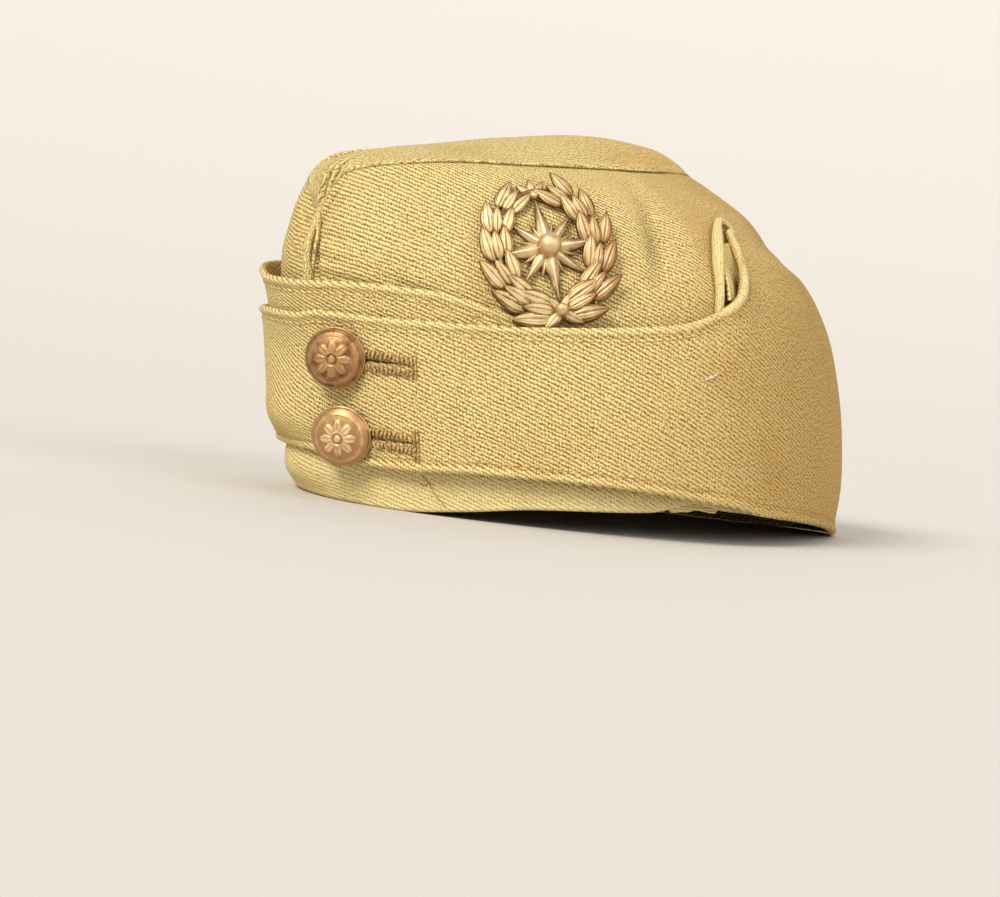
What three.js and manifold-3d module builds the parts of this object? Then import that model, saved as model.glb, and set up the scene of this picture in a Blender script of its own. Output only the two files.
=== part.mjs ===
// Field service cap: a cloth side cap with turned-up flaps, two buttons and a wreath badge.
// Millimetres, +Z up. The front of the cap faces -Y and the wearer's left side is +X.
// The cap stands on its rim: the front of the crown and the back of the flaps touch z = 0.
import * as THREE from 'three';
import { mergeVertices } from 'three/addons/utils/BufferGeometryUtils.js';
import Module from 'manifold-3d';

const wasm = await Module();
wasm.setup();

// Driving sizes
const WIDEST_Y = -18.6; // where the cap is widest, measured from the middle of its length
const CROWN_CLOTH = 1.6; // outer cloth and lining cloth together
const FLAP_CLOTH = 1.8; // the flaps are cloth doubled over
const HEM_EXTRA = 0.25; // a rolled hem stands out this much further
const HEM_DEPTH = 3.4; // and is this deep
const HEM_ROUND = 0.3; // its edge is rounded off by this much on both faces
const SEAM_GAP = 0.3; // space between two neighbouring pieces
const TOP_INSET = 0.6; // the top panel stops this short of the seams
const FRONT_SHOULDER = 0.58; // fullness of the plan between the front and the widest place
const REAR_SHOULDER = 0.44; // fullness of the plan between the widest place and the back

// Level sections of the crown, each an egg-shaped outline drawn around the widest place:
// reach to the front and to the rear, half width, and how blunt the nose and the tail are.
const CROWN_SECTIONS = [
  { z: 0, front: 75.5, half: 74.5, rear: 130, nose: 29, tail: 12 },
  { z: 20, front: 80, half: 76, rear: 127.8, nose: 30, tail: 12 },
  { z: 40, front: 85.8, half: 77.5, rear: 124, nose: 31, tail: 12 },
  { z: 60, front: 89.8, half: 78, rear: 116.5, nose: 29, tail: 13 },
  { z: 75, front: 92.5, half: 76, rear: 106.5, nose: 28, tail: 14 },
  { z: 86, front: 90.3, half: 71.5, rear: 96, nose: 27, tail: 14 },
  { z: 95, front: 88.6, half: 65, rear: 89.8, nose: 26, tail: 13 },
  { z: 103, front: 86, half: 56, rear: 78.5, nose: 25, tail: 12 },
  { z: 108, front: 82, half: 46, rear: 68.5, nose: 22, tail: 9 },
  { z: 111, front: 72, half: 39, rear: 62, nose: 19, tail: 8 },
  { z: 114, front: 58, half: 31, rear: 54.5, nose: 15, tail: 7 },
  { z: 117, front: 44, half: 25, rear: 46, nose: 12, tail: 6 },
];

// Stations along the cap are counted from 0 at the front seam, through 1 at the widest
// place, to 2 at the back crease. Rim height, and the heights of the two top seams:
const CROWN_EDGES = [
  { at: 0, rim: 0, left: 86, right: 86 },
  { at: 0.03, rim: 0, left: 92.5, right: 88.4 },
  { at: 0.08, rim: 0, left: 99.5, right: 92 },
  { at: 0.2, rim: 0, left: 103, right: 96.4 },
  { at: 0.3, rim: 0, left: 104.8, right: 99.6 },
  { at: 0.46, rim: 1.8, left: 107.2, right: 104.6 },
  { at: 0.67, rim: 4.6, left: 109, right: 109.2 },
  { at: 0.93, rim: 6.3, left: 111.5, right: 112.6 },
  { at: 1.15, rim: 6.8, left: 112.8, right: 113.4 },
  { at: 1.4, rim: 5, left: 114, right: 114.2 },
  { at: 1.7, rim: 2.6, left: 114.6, right: 114.6 },
  { at: 2, rim: 1.5, left: 114.2, right: 114.2 },
];

// Soft dents and swellings of the side cloth: where, how far they spread, how deep.
const CROWN_FOLDS = [
  { side: 0, at: 0, z: 78, spread: 0.06, tall: 13, rise: -1.4 },
  { side: 0, at: 0.13, z: 88, spread: 0.09, tall: 9, rise: 1.2 },
  { side: 1, at: 0.62, z: 98, spread: 0.2, tall: 9, rise: 0.6 },
  { side: 1, at: 0.92, z: 92, spread: 0.05, tall: 13, rise: -1.1 },
  { side: -1, at: 0.8, z: 90, spread: 0.06, tall: 12, rise: -1 },
  { side: 0, at: 1.75, z: 101, spread: 0.2, tall: 5, rise: -1.2 },
];

// The right front corner of the top is squashed in: how far, around which height, and up to
// which station.
const SQUASHED_CORNER = { push: 2.6, z: 100, tall: 12, reach: 0.5 };

// Middle line of the top panel, front to back, with y measured from the widest place.
const TOP_SPINE = [
  { y: -90.2, z: 86 },
  { y: -88.7, z: 95.5 },
  { y: -86.4, z: 102.6 },
  { y: -74, z: 107.6 },
  { y: -59.4, z: 110.9 },
  { y: -44.2, z: 113.6 },
  { y: -17.4, z: 119.1 },
  { y: 14.8, z: 122.8 },
  { y: 31.6, z: 122.2 },
  { y: 43, z: 119.6 },
  { y: 53.8, z: 114.4 },
];

// The flaps wrap the crown. A flap starts at the back crease, at = 2, and its free end passes
// the front seam on to the other side, at < 0. Heights of both hems, the distance from the
// crown to the outer face, and how much further the upper hem stands off.
const LEFT_FLAP = [
  { at: -0.72, lower: 27, upper: 44, lift: 5.4, flare: 0 },
  { at: -0.64, lower: 18.5, upper: 53.5, lift: 5.4, flare: 0.4 },
  { at: -0.5, lower: 14.6, upper: 57.2, lift: 5.4, flare: 1.2 },
  { at: -0.25, lower: 14.6, upper: 57.2, lift: 5.4, flare: 1.6 },
  { at: 0, lower: 15, upper: 57, lift: 5.4, flare: 1.6 },
  { at: 0.12, lower: 13.3, upper: 58.6, lift: 5.4, flare: 1.6 },
  { at: 0.3, lower: 13.2, upper: 58.4, lift: 5.4, flare: 1.4 },
  { at: 0.52, lower: 14, upper: 59.3, lift: 5.5, flare: 1 },
  { at: 0.77, lower: 13.9, upper: 62.2, lift: 5.5, flare: 0.4 },
  { at: 0.94, lower: 13, upper: 65.6, lift: 5.4, flare: 0.4 },
  { at: 1.03, lower: 12.2, upper: 70.6, lift: 5.4, flare: 0 },
  { at: 1.09, lower: 11.5, upper: 75.6, lift: 5.4, flare: 0 },
  { at: 1.12, lower: 11.2, upper: 82, lift: 5.4, flare: 0 },
  { at: 1.145, lower: 10.9, upper: 91, lift: 5.4, flare: -0.8 },
  { at: 1.19, lower: 10, upper: 96.5, lift: 5.4, flare: -2.5 },
  { at: 1.36, lower: 6.8, upper: 94, lift: 5.4, flare: -2.6 },
  { at: 1.6, lower: 2.6, upper: 91, lift: 5.6, flare: -2.9 },
  { at: 1.8, lower: 0, upper: 89.6, lift: 5.6, flare: -3 },
  { at: 2, lower: 0, upper: 89.5, lift: 5.6, flare: -3 },
];
const RIGHT_FLAP = [
  { at: -0.76, lower: 30, upper: 46, lift: 2.7, flare: 0 },
  { at: -0.66, lower: 21, upper: 61, lift: 2.7, flare: 0 },
  { at: -0.54, lower: 17, upper: 64.6, lift: 2.7, flare: 0.2 },
  { at: -0.41, lower: 16, upper: 67.6, lift: 2.7, flare: 1 },
  { at: -0.26, lower: 16, upper: 67.8, lift: 2.7, flare: 1.4 },
  { at: 0, lower: 16, upper: 66.8, lift: 2.7, flare: 2.2 },
  { at: 0.18, lower: 16, upper: 67.2, lift: 2.7, flare: 3.4 },
  { at: 0.4, lower: 15, upper: 70, lift: 2.7, flare: 4 },
  { at: 0.6, lower: 14, upper: 71, lift: 2.7, flare: 3.4 },
  { at: 0.78, lower: 13.4, upper: 70.4, lift: 2.9, flare: 2.4 },
  { at: 0.94, lower: 13, upper: 70, lift: 5.4, flare: 0.4 },
  { at: 1.03, lower: 12.2, upper: 72, lift: 5.4, flare: 0 },
  { at: 1.09, lower: 11.5, upper: 75.6, lift: 5.4, flare: 0 },
  { at: 1.12, lower: 11.2, upper: 82, lift: 5.4, flare: 0 },
  { at: 1.145, lower: 10.9, upper: 91, lift: 5.4, flare: -0.8 },
  { at: 1.19, lower: 10, upper: 96.5, lift: 5.4, flare: -2.5 },
  { at: 1.36, lower: 6.8, upper: 94, lift: 5.4, flare: -2.6 },
  { at: 1.6, lower: 2.6, upper: 91, lift: 5.6, flare: -2.9 },
  { at: 1.8, lower: 0, upper: 89.6, lift: 5.6, flare: -3 },
  { at: 2, lower: 0, upper: 89.5, lift: 5.6, flare: -3 },
];
const FLARE_POWER = 4;
const FLAP_LEVEL = 51; // up to this height the rows of a flap lie level

// A folded roll of cloth edges the front of each side vent; the flap edges its back.
const VENT_ROLL = [
  { at: 1.052, z: 73.5 },
  { at: 1.06, z: 80 },
  { at: 1.063, z: 86 },
  { at: 1.086, z: 92 },
  { at: 1.13, z: 97 },
  { at: 1.2, z: 100 },
];
const VENT_ROLL_RADIUS = 1.2;
const VENT_LINING = [
  { at: 1.078, low: 74.5, high: 86 },
  { at: 1.1, low: 74.5, high: 91 },
  { at: 1.15, low: 75, high: 92 },
];
const LINING_CLOTH = 1;
const LINING_GAP = 0.5;

// Band of lining inside the rim. It peeps out under the rim at the left side.
const LINING_TOP = 26;
const LINING_EDGE = [
  { at: 0, raise: 1.2 },
  { at: 0.9, raise: 1.2 },
  { at: 1.04, raise: -1.2 },
  { at: 1.13, raise: -1.2 },
  { at: 1.25, raise: 1.2 },
  { at: 2, raise: 1.2 },
];

// Corded seams
const FRONT_WELT_RADIUS = 1.2;
const FRONT_WELT_ENDS = { low: 67, high: 86.2 };
const WELT_SEAT = 1; // a welt rides this far clear of the pinched cloth
const TOP_WELT_RADIUS = { left: 0.7, right: 1.1 };
const TOP_WELT_ENDS = { start: 0.03, end: 1.8 };

// Buttons: a low dome on a shank that passes through a hole in the left flap.
const BUTTON_RADIUS = 9.5;
const BUTTON_RIM = 1.4;
const BUTTON_DOME = 5;
const SHANK_RADIUS = 1.7;
const SHANK_FOOT_LIFT = 3.3; // the shank ends just above the flap underneath
const BUTTON_STAND_OFF = 2.3;
const BUTTON_TILT = 12; // degrees that a button hangs round to the side on its shank
const BUTTONS = [
  { name: 'button_upper', at: 0.168, z: 45.5 },
  { name: 'button_lower', at: 0.164, z: 22.8 },
];
const BUTTONHOLE_LENGTH = 23;
const BUTTONHOLE_WIDTH = 1.2;
const BUTTONHOLE_EYE = 3.1;

// Badge: an oval laurel wreath with a rayed star inside it, cast in one piece.
const BADGE_AT = 0.665;
const BADGE_Z = 83.4;
const BADGE_LEAN = 15; // degrees that the top of the badge leans to the front
const BADGE_BOW = { across: 350, up: 72 }; // radii of its slight bow
const BADGE_TIP = -1; // degrees that its top is tipped in to the crown
const BADGE_LIFT = 1.15;
const WREATH_WIDTH = 34; // of the oval line that the leaves grow on
const WREATH_HEIGHT = 39;
const WREATH_STEM = 1.3;
const LEAF_PAIRS = 7;
const LEAF_LENGTH = 9;
const LEAF_WIDTH = 3.8;
const LEAF_RISE = 1.5;
const LEAF_OUTLINE = [
  { along: 0, across: 0 },
  { along: 0.35, across: 0.5 },
  { along: 0.75, across: 0.32 },
  { along: 1, across: 0 },
  { along: 0.75, across: -0.32 },
  { along: 0.35, across: -0.5 },
];
const LEAF_RIDGE = 0.45; // where along a leaf its ridge is highest
const LEAF_SPLAY = 0.42; // radians between a leaf and its branch
const BRANCH = { start: 0.035, length: 0.42 }; // in turns of the oval, from the bottom
const STAR_RAYS = 8;
const STAR_REACH = 18.5;
const STAR_VALLEY = 5;
const STAR_RISE = 2;
const STAR_BOSS = 4;
const BADGE_BACK = 0.9; // thickness of the flat back under the relief

// Mesh fineness
const CROWN_COLUMNS = 32;
const CROWN_ROWS = 12;
const CROWN_CROWDING = 0.45; // how much its rows crowd together towards the top
const TOP_COLUMNS = 24;
const TOP_ROWS = 8;
const FLAP_COLUMNS = 24;
const FLAP_ROWS = 8;
const NEAREST_COLUMNS = 0.016; // columns of a flap are at least this far apart
const LINING_COLUMNS = 40;
const END_CROWDING = 0.6; // how much columns crowd together at the front and the back

// Smooth curve through one column of a table, without overshoot between the rows.
function track(rows, key, column) {
  const steps = rows.slice(1).map((row, i) => row[key] - rows[i][key]);
  const slopes = steps.map((step, i) => (rows[i + 1][column] - rows[i][column]) / step);
  const bends = rows.map((row, i) => {
    if (i === 0) return slopes[0];
    if (i === rows.length - 1) return slopes[i - 1];
    const before = slopes[i - 1];
    const after = slopes[i];
    return before * after <= 0 ? 0 : (2 * before * after) / (before + after);
  });
  return (x) => {
    if (x <= rows[0][key]) return rows[0][column];
    if (x >= rows[rows.length - 1][key]) return rows[rows.length - 1][column];
    const i = rows.findIndex((row, k) => k + 1 < rows.length && x < rows[k + 1][key]);
    const t = (x - rows[i][key]) / steps[i];
    const ease = t * t * (3 - 2 * t);
    const start = t * (1 - t) * (1 - t) * steps[i] * bends[i];
    const end = t * t * (1 - t) * steps[i] * bends[i + 1];
    return THREE.MathUtils.lerp(rows[i][column], rows[i + 1][column], ease) + start - end;
  };
}

function bezier(t, a, b, c, d) {
  const u = 1 - t;
  return u * u * u * a + 3 * u * u * t * b + 3 * u * t * t * c + t * t * t * d;
}

const section = {
  front: track(CROWN_SECTIONS, 'z', 'front'),
  half: track(CROWN_SECTIONS, 'z', 'half'),
  rear: track(CROWN_SECTIONS, 'z', 'rear'),
  nose: track(CROWN_SECTIONS, 'z', 'nose'),
  tail: track(CROWN_SECTIONS, 'z', 'tail'),
};
const rimHeight = track(CROWN_EDGES, 'at', 'rim');
const seamHeight = {
  1: track(CROWN_EDGES, 'at', 'left'),
  '-1': track(CROWN_EDGES, 'at', 'right'),
};
const spineHeight = track(TOP_SPINE, 'y', 'z');

function cornerSquash(station, z) {
  const along = Math.min(station / SQUASHED_CORNER.reach, 1) ** 0.7;
  const up = (z - SQUASHED_CORNER.z) / SQUASHED_CORNER.tall;
  const depth = Math.SQRT1_2 * SQUASHED_CORNER.push * Math.exp(-up * up);
  return depth * Math.sin(Math.PI * along) ** 2;
}

// Point of the smooth crown at a station (negative on the right side) and a height.
function smoothCrown(at, z) {
  const side = at < 0 ? -1 : 1;
  const station = Math.min(Math.abs(at), 2);
  const half = section.half(z);
  if (station <= 1) {
    const front = section.front(z);
    const squash = side < 0 ? cornerSquash(station, z) : 0;
    const x = bezier(station, 0, section.nose(z), half, half) - squash;
    const y = bezier(station, -front, -front, -front * FRONT_SHOULDER, 0) + squash;
    return new THREE.Vector3(side * x, WIDEST_Y + y, z);
  }
  const rear = section.rear(z);
  const x = bezier(station - 1, half, half, section.tail(z), 0);
  const y = bezier(station - 1, 0, rear * REAR_SHOULDER, rear, rear);
  return new THREE.Vector3(side * x, WIDEST_Y + y, z);
}

// Outward direction of the smooth crown. On the two seams it lies in the middle plane.
function crownNormal(at, z) {
  const side = at < 0 ? -1 : 1;
  const step = 0.004;
  const station = THREE.MathUtils.clamp(Math.abs(at), step, 2 - step);
  const along = smoothCrown(side * (station + step), z).sub(smoothCrown(side * (station - step), z));
  const up = smoothCrown(side * station, z + 0.25).sub(smoothCrown(side * station, z - 0.25));
  const normal = along.cross(up).multiplyScalar(side).normalize();
  if (Math.abs(at) < step || Math.abs(at) > 2 - step) normal.setX(0).normalize();
  return normal;
}

function onCrown(at, z, lift) {
  return smoothCrown(at, z).addScaledVector(crownNormal(at, z), lift);
}

// How far the folds push the cloth out at a place of the crown.
function foldRise(at, z) {
  const side = at < 0 ? -1 : 1;
  let rise = 0;
  for (const fold of CROWN_FOLDS) {
    if (fold.side !== 0 && fold.side !== side) continue;
    const across = (Math.abs(at) - fold.at) / fold.spread;
    const tall = (z - fold.z) / fold.tall;
    rise += fold.rise * Math.exp(-across * across - tall * tall);
  }
  return rise;
}

// Keeps a piece on its own side of the middle plane, half a seam gap from it.
function keepSide(point, side) {
  point.x = side * Math.max(side * point.x, SEAM_GAP / 2);
  return point;
}

// Closed wall between an outer and an inner grid of points of the same size.
function wallGeometry(outer, inner) {
  const columns = outer.length;
  const rows = outer[0].length;
  const points = [...outer.flat(), ...inner.flat()];
  const innerStart = columns * rows;
  const index = [];
  const quad = (a, b, c, d) => index.push(a, b, c, a, c, d);
  const out = (i, j) => i * rows + j;
  const inn = (i, j) => innerStart + i * rows + j;
  for (let i = 0; i + 1 < columns; i++) {
    for (let j = 0; j + 1 < rows; j++) {
      quad(out(i, j), out(i + 1, j), out(i + 1, j + 1), out(i, j + 1));
      quad(inn(i, j), inn(i, j + 1), inn(i + 1, j + 1), inn(i + 1, j));
    }
    quad(out(i, 0), inn(i, 0), inn(i + 1, 0), out(i + 1, 0));
    quad(out(i, rows - 1), out(i + 1, rows - 1), inn(i + 1, rows - 1), inn(i, rows - 1));
  }
  for (let j = 0; j + 1 < rows; j++) {
    quad(out(0, j), out(0, j + 1), inn(0, j + 1), inn(0, j));
    quad(out(columns - 1, j), inn(columns - 1, j), inn(columns - 1, j + 1), out(columns - 1, j + 1));
  }
  const geometry = new THREE.BufferGeometry().setFromPoints(points);
  geometry.setIndex(index);
  return facingOut(geometry);
}

// Turns a closed mesh the right way round if its faces point inwards.
function facingOut(geometry) {
  const position = geometry.getAttribute('position');
  const index = geometry.getIndex();
  const [a, b, c] = [new THREE.Vector3(), new THREE.Vector3(), new THREE.Vector3()];
  let volume = 0;
  for (let i = 0; i < index.count; i += 3) {
    a.fromBufferAttribute(position, index.getX(i));
    b.fromBufferAttribute(position, index.getX(i + 1));
    c.fromBufferAttribute(position, index.getX(i + 2));
    volume += a.dot(b.cross(c));
  }
  if (volume < 0) {
    for (let i = 0; i < index.count; i += 3) {
      const second = index.getX(i + 1);
      index.setX(i + 1, index.getX(i + 2));
      index.setX(i + 2, second);
    }
  }
  return geometry;
}

// Stations from 0 to 2, closer together at the front and at the back.
function stations(count) {
  return Array.from({ length: count + 1 }, (unused, i) => {
    const u = i / count;
    return 2 * (u - (END_CROWDING * Math.sin(2 * Math.PI * u)) / (2 * Math.PI));
  });
}

// Seam between a side of the crown and the top panel: its line and the way it faces.
function topSeam(at, side) {
  return smoothCrown(side * at, seamHeight[side](at));
}

function spinePoint(at) {
  const y = (topSeam(at, 1).y + topSeam(at, -1).y) / 2;
  return new THREE.Vector3(0, y, spineHeight(y - WIDEST_Y));
}

function topSeamNormal(at, side) {
  const step = 0.01;
  const station = THREE.MathUtils.clamp(at, step, 2 - step);
  const along = topSeam(station + step, side).sub(topSeam(station - step, side));
  const across = spinePoint(station).sub(topSeam(station, side));
  const panel = along.cross(across).multiplyScalar(side).normalize();
  const cloth = crownNormal(side * station, seamHeight[side](station));
  const normal = panel.add(cloth).normalize();
  if (at < step || at > 2 - step) normal.setX(0).normalize();
  return normal;
}

// One side of the crown, from the rim to the top seam.
function crownSide(side) {
  const outer = [];
  const inner = [];
  for (const at of stations(CROWN_COLUMNS)) {
    const low = rimHeight(at);
    const high = seamHeight[side](at);
    const outerColumn = [];
    const innerColumn = [];
    for (let j = 0; j <= CROWN_ROWS; j++) {
      const t = j / CROWN_ROWS;
      const crowded = THREE.MathUtils.lerp(t, Math.sin((Math.PI / 2) * t), CROWN_CROWDING);
      const z = THREE.MathUtils.lerp(low, high, crowded);
      const normal = j < CROWN_ROWS ? crownNormal(side * at, z) : topSeamNormal(at, side);
      const fade = 1 - t ** 6;
      const point = onCrown(side * at, z, fade * foldRise(side * at, z));
      const back = point.clone().addScaledVector(normal, -CROWN_CLOTH);
      if (j === 0) back.setZ(point.z);
      outerColumn.push(keepSide(point, side));
      innerColumn.push(keepSide(back, side));
    }
    outer.push(outerColumn);
    inner.push(innerColumn);
  }
  return wallGeometry(outer, inner);
}

// Boat-shaped top panel between the two top seams.
function crownTop() {
  const outer = [];
  const inner = [];
  for (const at of stations(TOP_COLUMNS).slice(1, -2)) {
    const middle = spinePoint(at);
    const outerColumn = [];
    const innerColumn = [];
    for (let j = 0; j <= TOP_ROWS; j++) {
      const across = (2 * j) / TOP_ROWS - 1;
      const side = across < 0 ? 1 : -1;
      const seam = topSeam(at, side);
      const reach = Math.abs(across) * (1 - TOP_INSET / seam.distanceTo(middle));
      const point = seam.clone().lerp(middle, 1 - reach);
      const arch = 1 - reach * reach;
      point.z = THREE.MathUtils.lerp(seam.z, middle.z, arch);
      const normal = topSeamNormal(at, side);
      normal.x *= reach;
      normal.normalize();
      outerColumn.push(point);
      innerColumn.push(point.clone().addScaledVector(normal, -CROWN_CLOTH));
    }
    outer.push(outerColumn);
    inner.push(innerColumn);
  }
  return wallGeometry(outer, inner);
}

// Round cord along a curve, with closed ends.
function cord(points, radius, steps, sides) {
  const path = new THREE.CatmullRomCurve3(points);
  const profile = new THREE.Shape().absarc(0, 0, radius, 0, 2 * Math.PI);
  const options = { steps, curveSegments: sides / 2, extrudePath: path, bevelEnabled: false };
  return closedMesh(new THREE.ExtrudeGeometry(profile, options));
}

// Keeps only positions, with shared corners merged, so that the surface is closed.
function closedMesh(geometry) {
  const bare = geometry.clone();
  bare.deleteAttribute('normal');
  bare.deleteAttribute('uv');
  return facingOut(mergeVertices(bare, 1e-4));
}

function frontWelt() {
  const steps = 8;
  const points = [];
  for (let i = 0; i <= steps; i++) {
    const z = THREE.MathUtils.lerp(FRONT_WELT_ENDS.low, FRONT_WELT_ENDS.high, i / steps);
    points.push(onCrown(0, z, foldRise(0, z) + WELT_SEAT + FRONT_WELT_RADIUS));
  }
  return cord(points, FRONT_WELT_RADIUS, steps, 8);
}

function topWelt(side, radius) {
  const steps = 24;
  const points = [];
  for (let i = 0; i <= steps; i++) {
    const at = THREE.MathUtils.lerp(TOP_WELT_ENDS.start, TOP_WELT_ENDS.end, i / steps);
    points.push(topSeam(at, side).addScaledVector(topSeamNormal(at, side), radius + WELT_SEAT / 2));
  }
  return cord(points, radius, steps, 6);
}

// Height of a row of a flap. The rows lie level up to a fixed height and then follow the
// upper hem; the first and the last row are the hems' own.
function flapRow(lower, upper, row) {
  const level = Math.min(FLAP_LEVEL, THREE.MathUtils.lerp(lower, upper, 0.75));
  const rows = [
    lower,
    lower + HEM_DEPTH,
    THREE.MathUtils.lerp(lower + HEM_DEPTH, level, 0.33),
    THREE.MathUtils.lerp(lower + HEM_DEPTH, level, 0.67),
    level,
    THREE.MathUtils.lerp(level, upper - HEM_DEPTH, 0.35),
    THREE.MathUtils.lerp(level, upper - HEM_DEPTH, 0.7),
    upper - HEM_DEPTH,
    upper,
  ];
  return rows[row];
}

// How far the two faces of a flap move at a row, so that both hems look rolled.
function hemShape(row) {
  if (row === 0 || row === FLAP_ROWS) return { outer: -HEM_ROUND, inner: HEM_ROUND };
  if (row === 1 || row === FLAP_ROWS - 1) return { outer: HEM_EXTRA, inner: 0 };
  return { outer: 0, inner: 0 };
}

// Turned-up flap. side is 1 for the left flap and -1 for the right one.
function flap(rows, side) {
  const hem = {
    lower: track(rows, 'at', 'lower'),
    upper: track(rows, 'at', 'upper'),
    lift: track(rows, 'at', 'lift'),
    flare: track(rows, 'at', 'flare'),
  };
  const start = rows[0].at;
  const places = stations(FLAP_COLUMNS).map((at) => start + ((2 - start) * at) / 2);
  const isFree = (at) => rows.every((row) => Math.abs(row.at - at) > NEAREST_COLUMNS);
  const kept = places.filter(isFree);
  const columns = [...kept, ...rows.map((row) => row.at)].sort((a, b) => a - b);
  const outer = [];
  const inner = [];
  for (const at of columns) {
    const outerColumn = [];
    const innerColumn = [];
    for (let j = 0; j <= FLAP_ROWS; j++) {
      const z = flapRow(hem.lower(at), hem.upper(at), j);
      const t = (z - hem.lower(at)) / (hem.upper(at) - hem.lower(at));
      const lift = hem.lift(at) + hem.flare(at) * t ** FLARE_POWER;
      const shape = hemShape(j);
      const outside = onCrown(side * at, z, lift + shape.outer);
      const inside = onCrown(side * at, z, lift - FLAP_CLOTH + shape.inner);
      if (z === 0) {
        outside.setZ(0);
        inside.setZ(0);
      }
      if (at > 1) {
        keepSide(outside, side);
        keepSide(inside, side);
      }
      outerColumn.push(outside);
      innerColumn.push(inside);
    }
    outer.push(outerColumn);
    inner.push(innerColumn);
  }
  return wallGeometry(outer, inner);
}

function liningBand() {
  const raise = track(LINING_EDGE, 'at', 'raise');
  const half = stations(LINING_COLUMNS / 2);
  const ring = [...half, ...half.slice(1, -1).reverse().map((at) => -at)];
  const outer = [];
  const inner = [];
  for (const at of ring) {
    const station = Math.abs(at);
    const drop = at > 0 ? raise(station) : LINING_EDGE[0].raise;
    const low = rimHeight(station) + drop;
    const outerColumn = [];
    const innerColumn = [];
    for (const t of [0, 0.35, 1]) {
      const z = THREE.MathUtils.lerp(low, LINING_TOP, t);
      const lift = -CROWN_CLOTH - LINING_GAP;
      outerColumn.push(onCrown(at, z, lift));
      innerColumn.push(onCrown(at, z, lift - LINING_CLOTH));
    }
    outer.push(outerColumn);
    inner.push(innerColumn);
  }
  return ringGeometry(outer, inner);
}

// Closed wall that runs right round and meets its own start.
function ringGeometry(outer, inner) {
  const open = wallGeometry([...outer, outer[0]], [...inner, inner[0]]);
  const index = Array.from(open.getIndex().array);
  const rows = outer[0].length;
  const endFaces = 4 * (rows - 1) * 3;
  const geometry = new THREE.BufferGeometry();
  geometry.setAttribute('position', open.getAttribute('position'));
  geometry.setIndex(index.slice(0, index.length - endFaces));
  return facingOut(mergeVertices(geometry, 1e-4));
}

function ventRoll(side) {
  const points = VENT_ROLL.map((row) => onCrown(side * row.at, row.z, VENT_ROLL_RADIUS + SEAM_GAP));
  return cord(points, VENT_ROLL_RADIUS, 12, 6);
}

function ventLining(side) {
  const outer = [];
  const inner = [];
  for (const row of VENT_LINING) {
    const heights = [0, 0.5, 1].map((t) => THREE.MathUtils.lerp(row.low, row.high, t));
    outer.push(heights.map((z) => onCrown(side * row.at, z, 2 * SEAM_GAP + LINING_CLOTH)));
    inner.push(heights.map((z) => onCrown(side * row.at, z, 2 * SEAM_GAP)));
  }
  return wallGeometry(outer, inner);
}

// Frame at a place of the left side: x runs to the rear, y up the cloth, z outwards.
function clothFrame(at, z, lift) {
  const outward = crownNormal(at, z);
  const rearward = smoothCrown(at + 0.02, z).sub(smoothCrown(at - 0.02, z));
  rearward.addScaledVector(outward, -rearward.dot(outward)).normalize();
  const up = outward.clone().cross(rearward);
  const frame = new THREE.Matrix4().makeBasis(rearward, up, outward);
  return frame.setPosition(onCrown(at, z, lift));
}

function flapLift(rows, at, z) {
  const low = track(rows, 'at', 'lower')(at);
  const high = track(rows, 'at', 'upper')(at);
  const t = (z - low) / (high - low);
  return track(rows, 'at', 'lift')(at) + track(rows, 'at', 'flare')(at) * t ** FLARE_POWER;
}

// Domed button with a rolled rim and a small raised rosette, on its shank.
function button(place) {
  const faceLift = flapLift(LEFT_FLAP, place.at, place.z) + BUTTON_STAND_OFF;
  const foot = SHANK_FOOT_LIFT - faceLift;
  const profile = [
    new THREE.Vector2(0, foot),
    new THREE.Vector2(SHANK_RADIUS, foot),
    new THREE.Vector2(SHANK_RADIUS, 0),
    new THREE.Vector2(BUTTON_RADIUS - 0.8, 0.2),
    new THREE.Vector2(BUTTON_RADIUS, BUTTON_RIM * 0.5),
    new THREE.Vector2(BUTTON_RADIUS - 0.4, BUTTON_RIM),
  ];
  for (let k = 1; k <= 5; k++) {
    const turn = (k / 5) * (Math.PI / 2);
    const rise = BUTTON_RIM + (BUTTON_DOME - BUTTON_RIM) * Math.sin(turn);
    profile.push(new THREE.Vector2((BUTTON_RADIUS - 1) * Math.cos(turn), rise));
  }
  profile[profile.length - 1].x = 0;
  const geometry = closedMesh(new THREE.LatheGeometry(profile, 18));
  geometry.rotateX(Math.PI / 2);
  geometry.rotateY(THREE.MathUtils.degToRad(BUTTON_TILT));
  return geometry.applyMatrix4(clothFrame(place.at, place.z, faceLift));
}

function toManifold(geometry) {
  const merged = closedMesh(geometry);
  const mesh = new wasm.Mesh({
    numProp: 3,
    vertProperties: new Float32Array(merged.getAttribute('position').array),
    triVerts: new Uint32Array(merged.getIndex().array),
  });
  return new wasm.Manifold(mesh);
}

function toGeometry(solid) {
  const mesh = solid.getMesh();
  const geometry = new THREE.BufferGeometry();
  geometry.setAttribute('position', new THREE.BufferAttribute(mesh.vertProperties, 3));
  geometry.setIndex(new THREE.BufferAttribute(mesh.triVerts, 1));
  return geometry;
}

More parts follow.
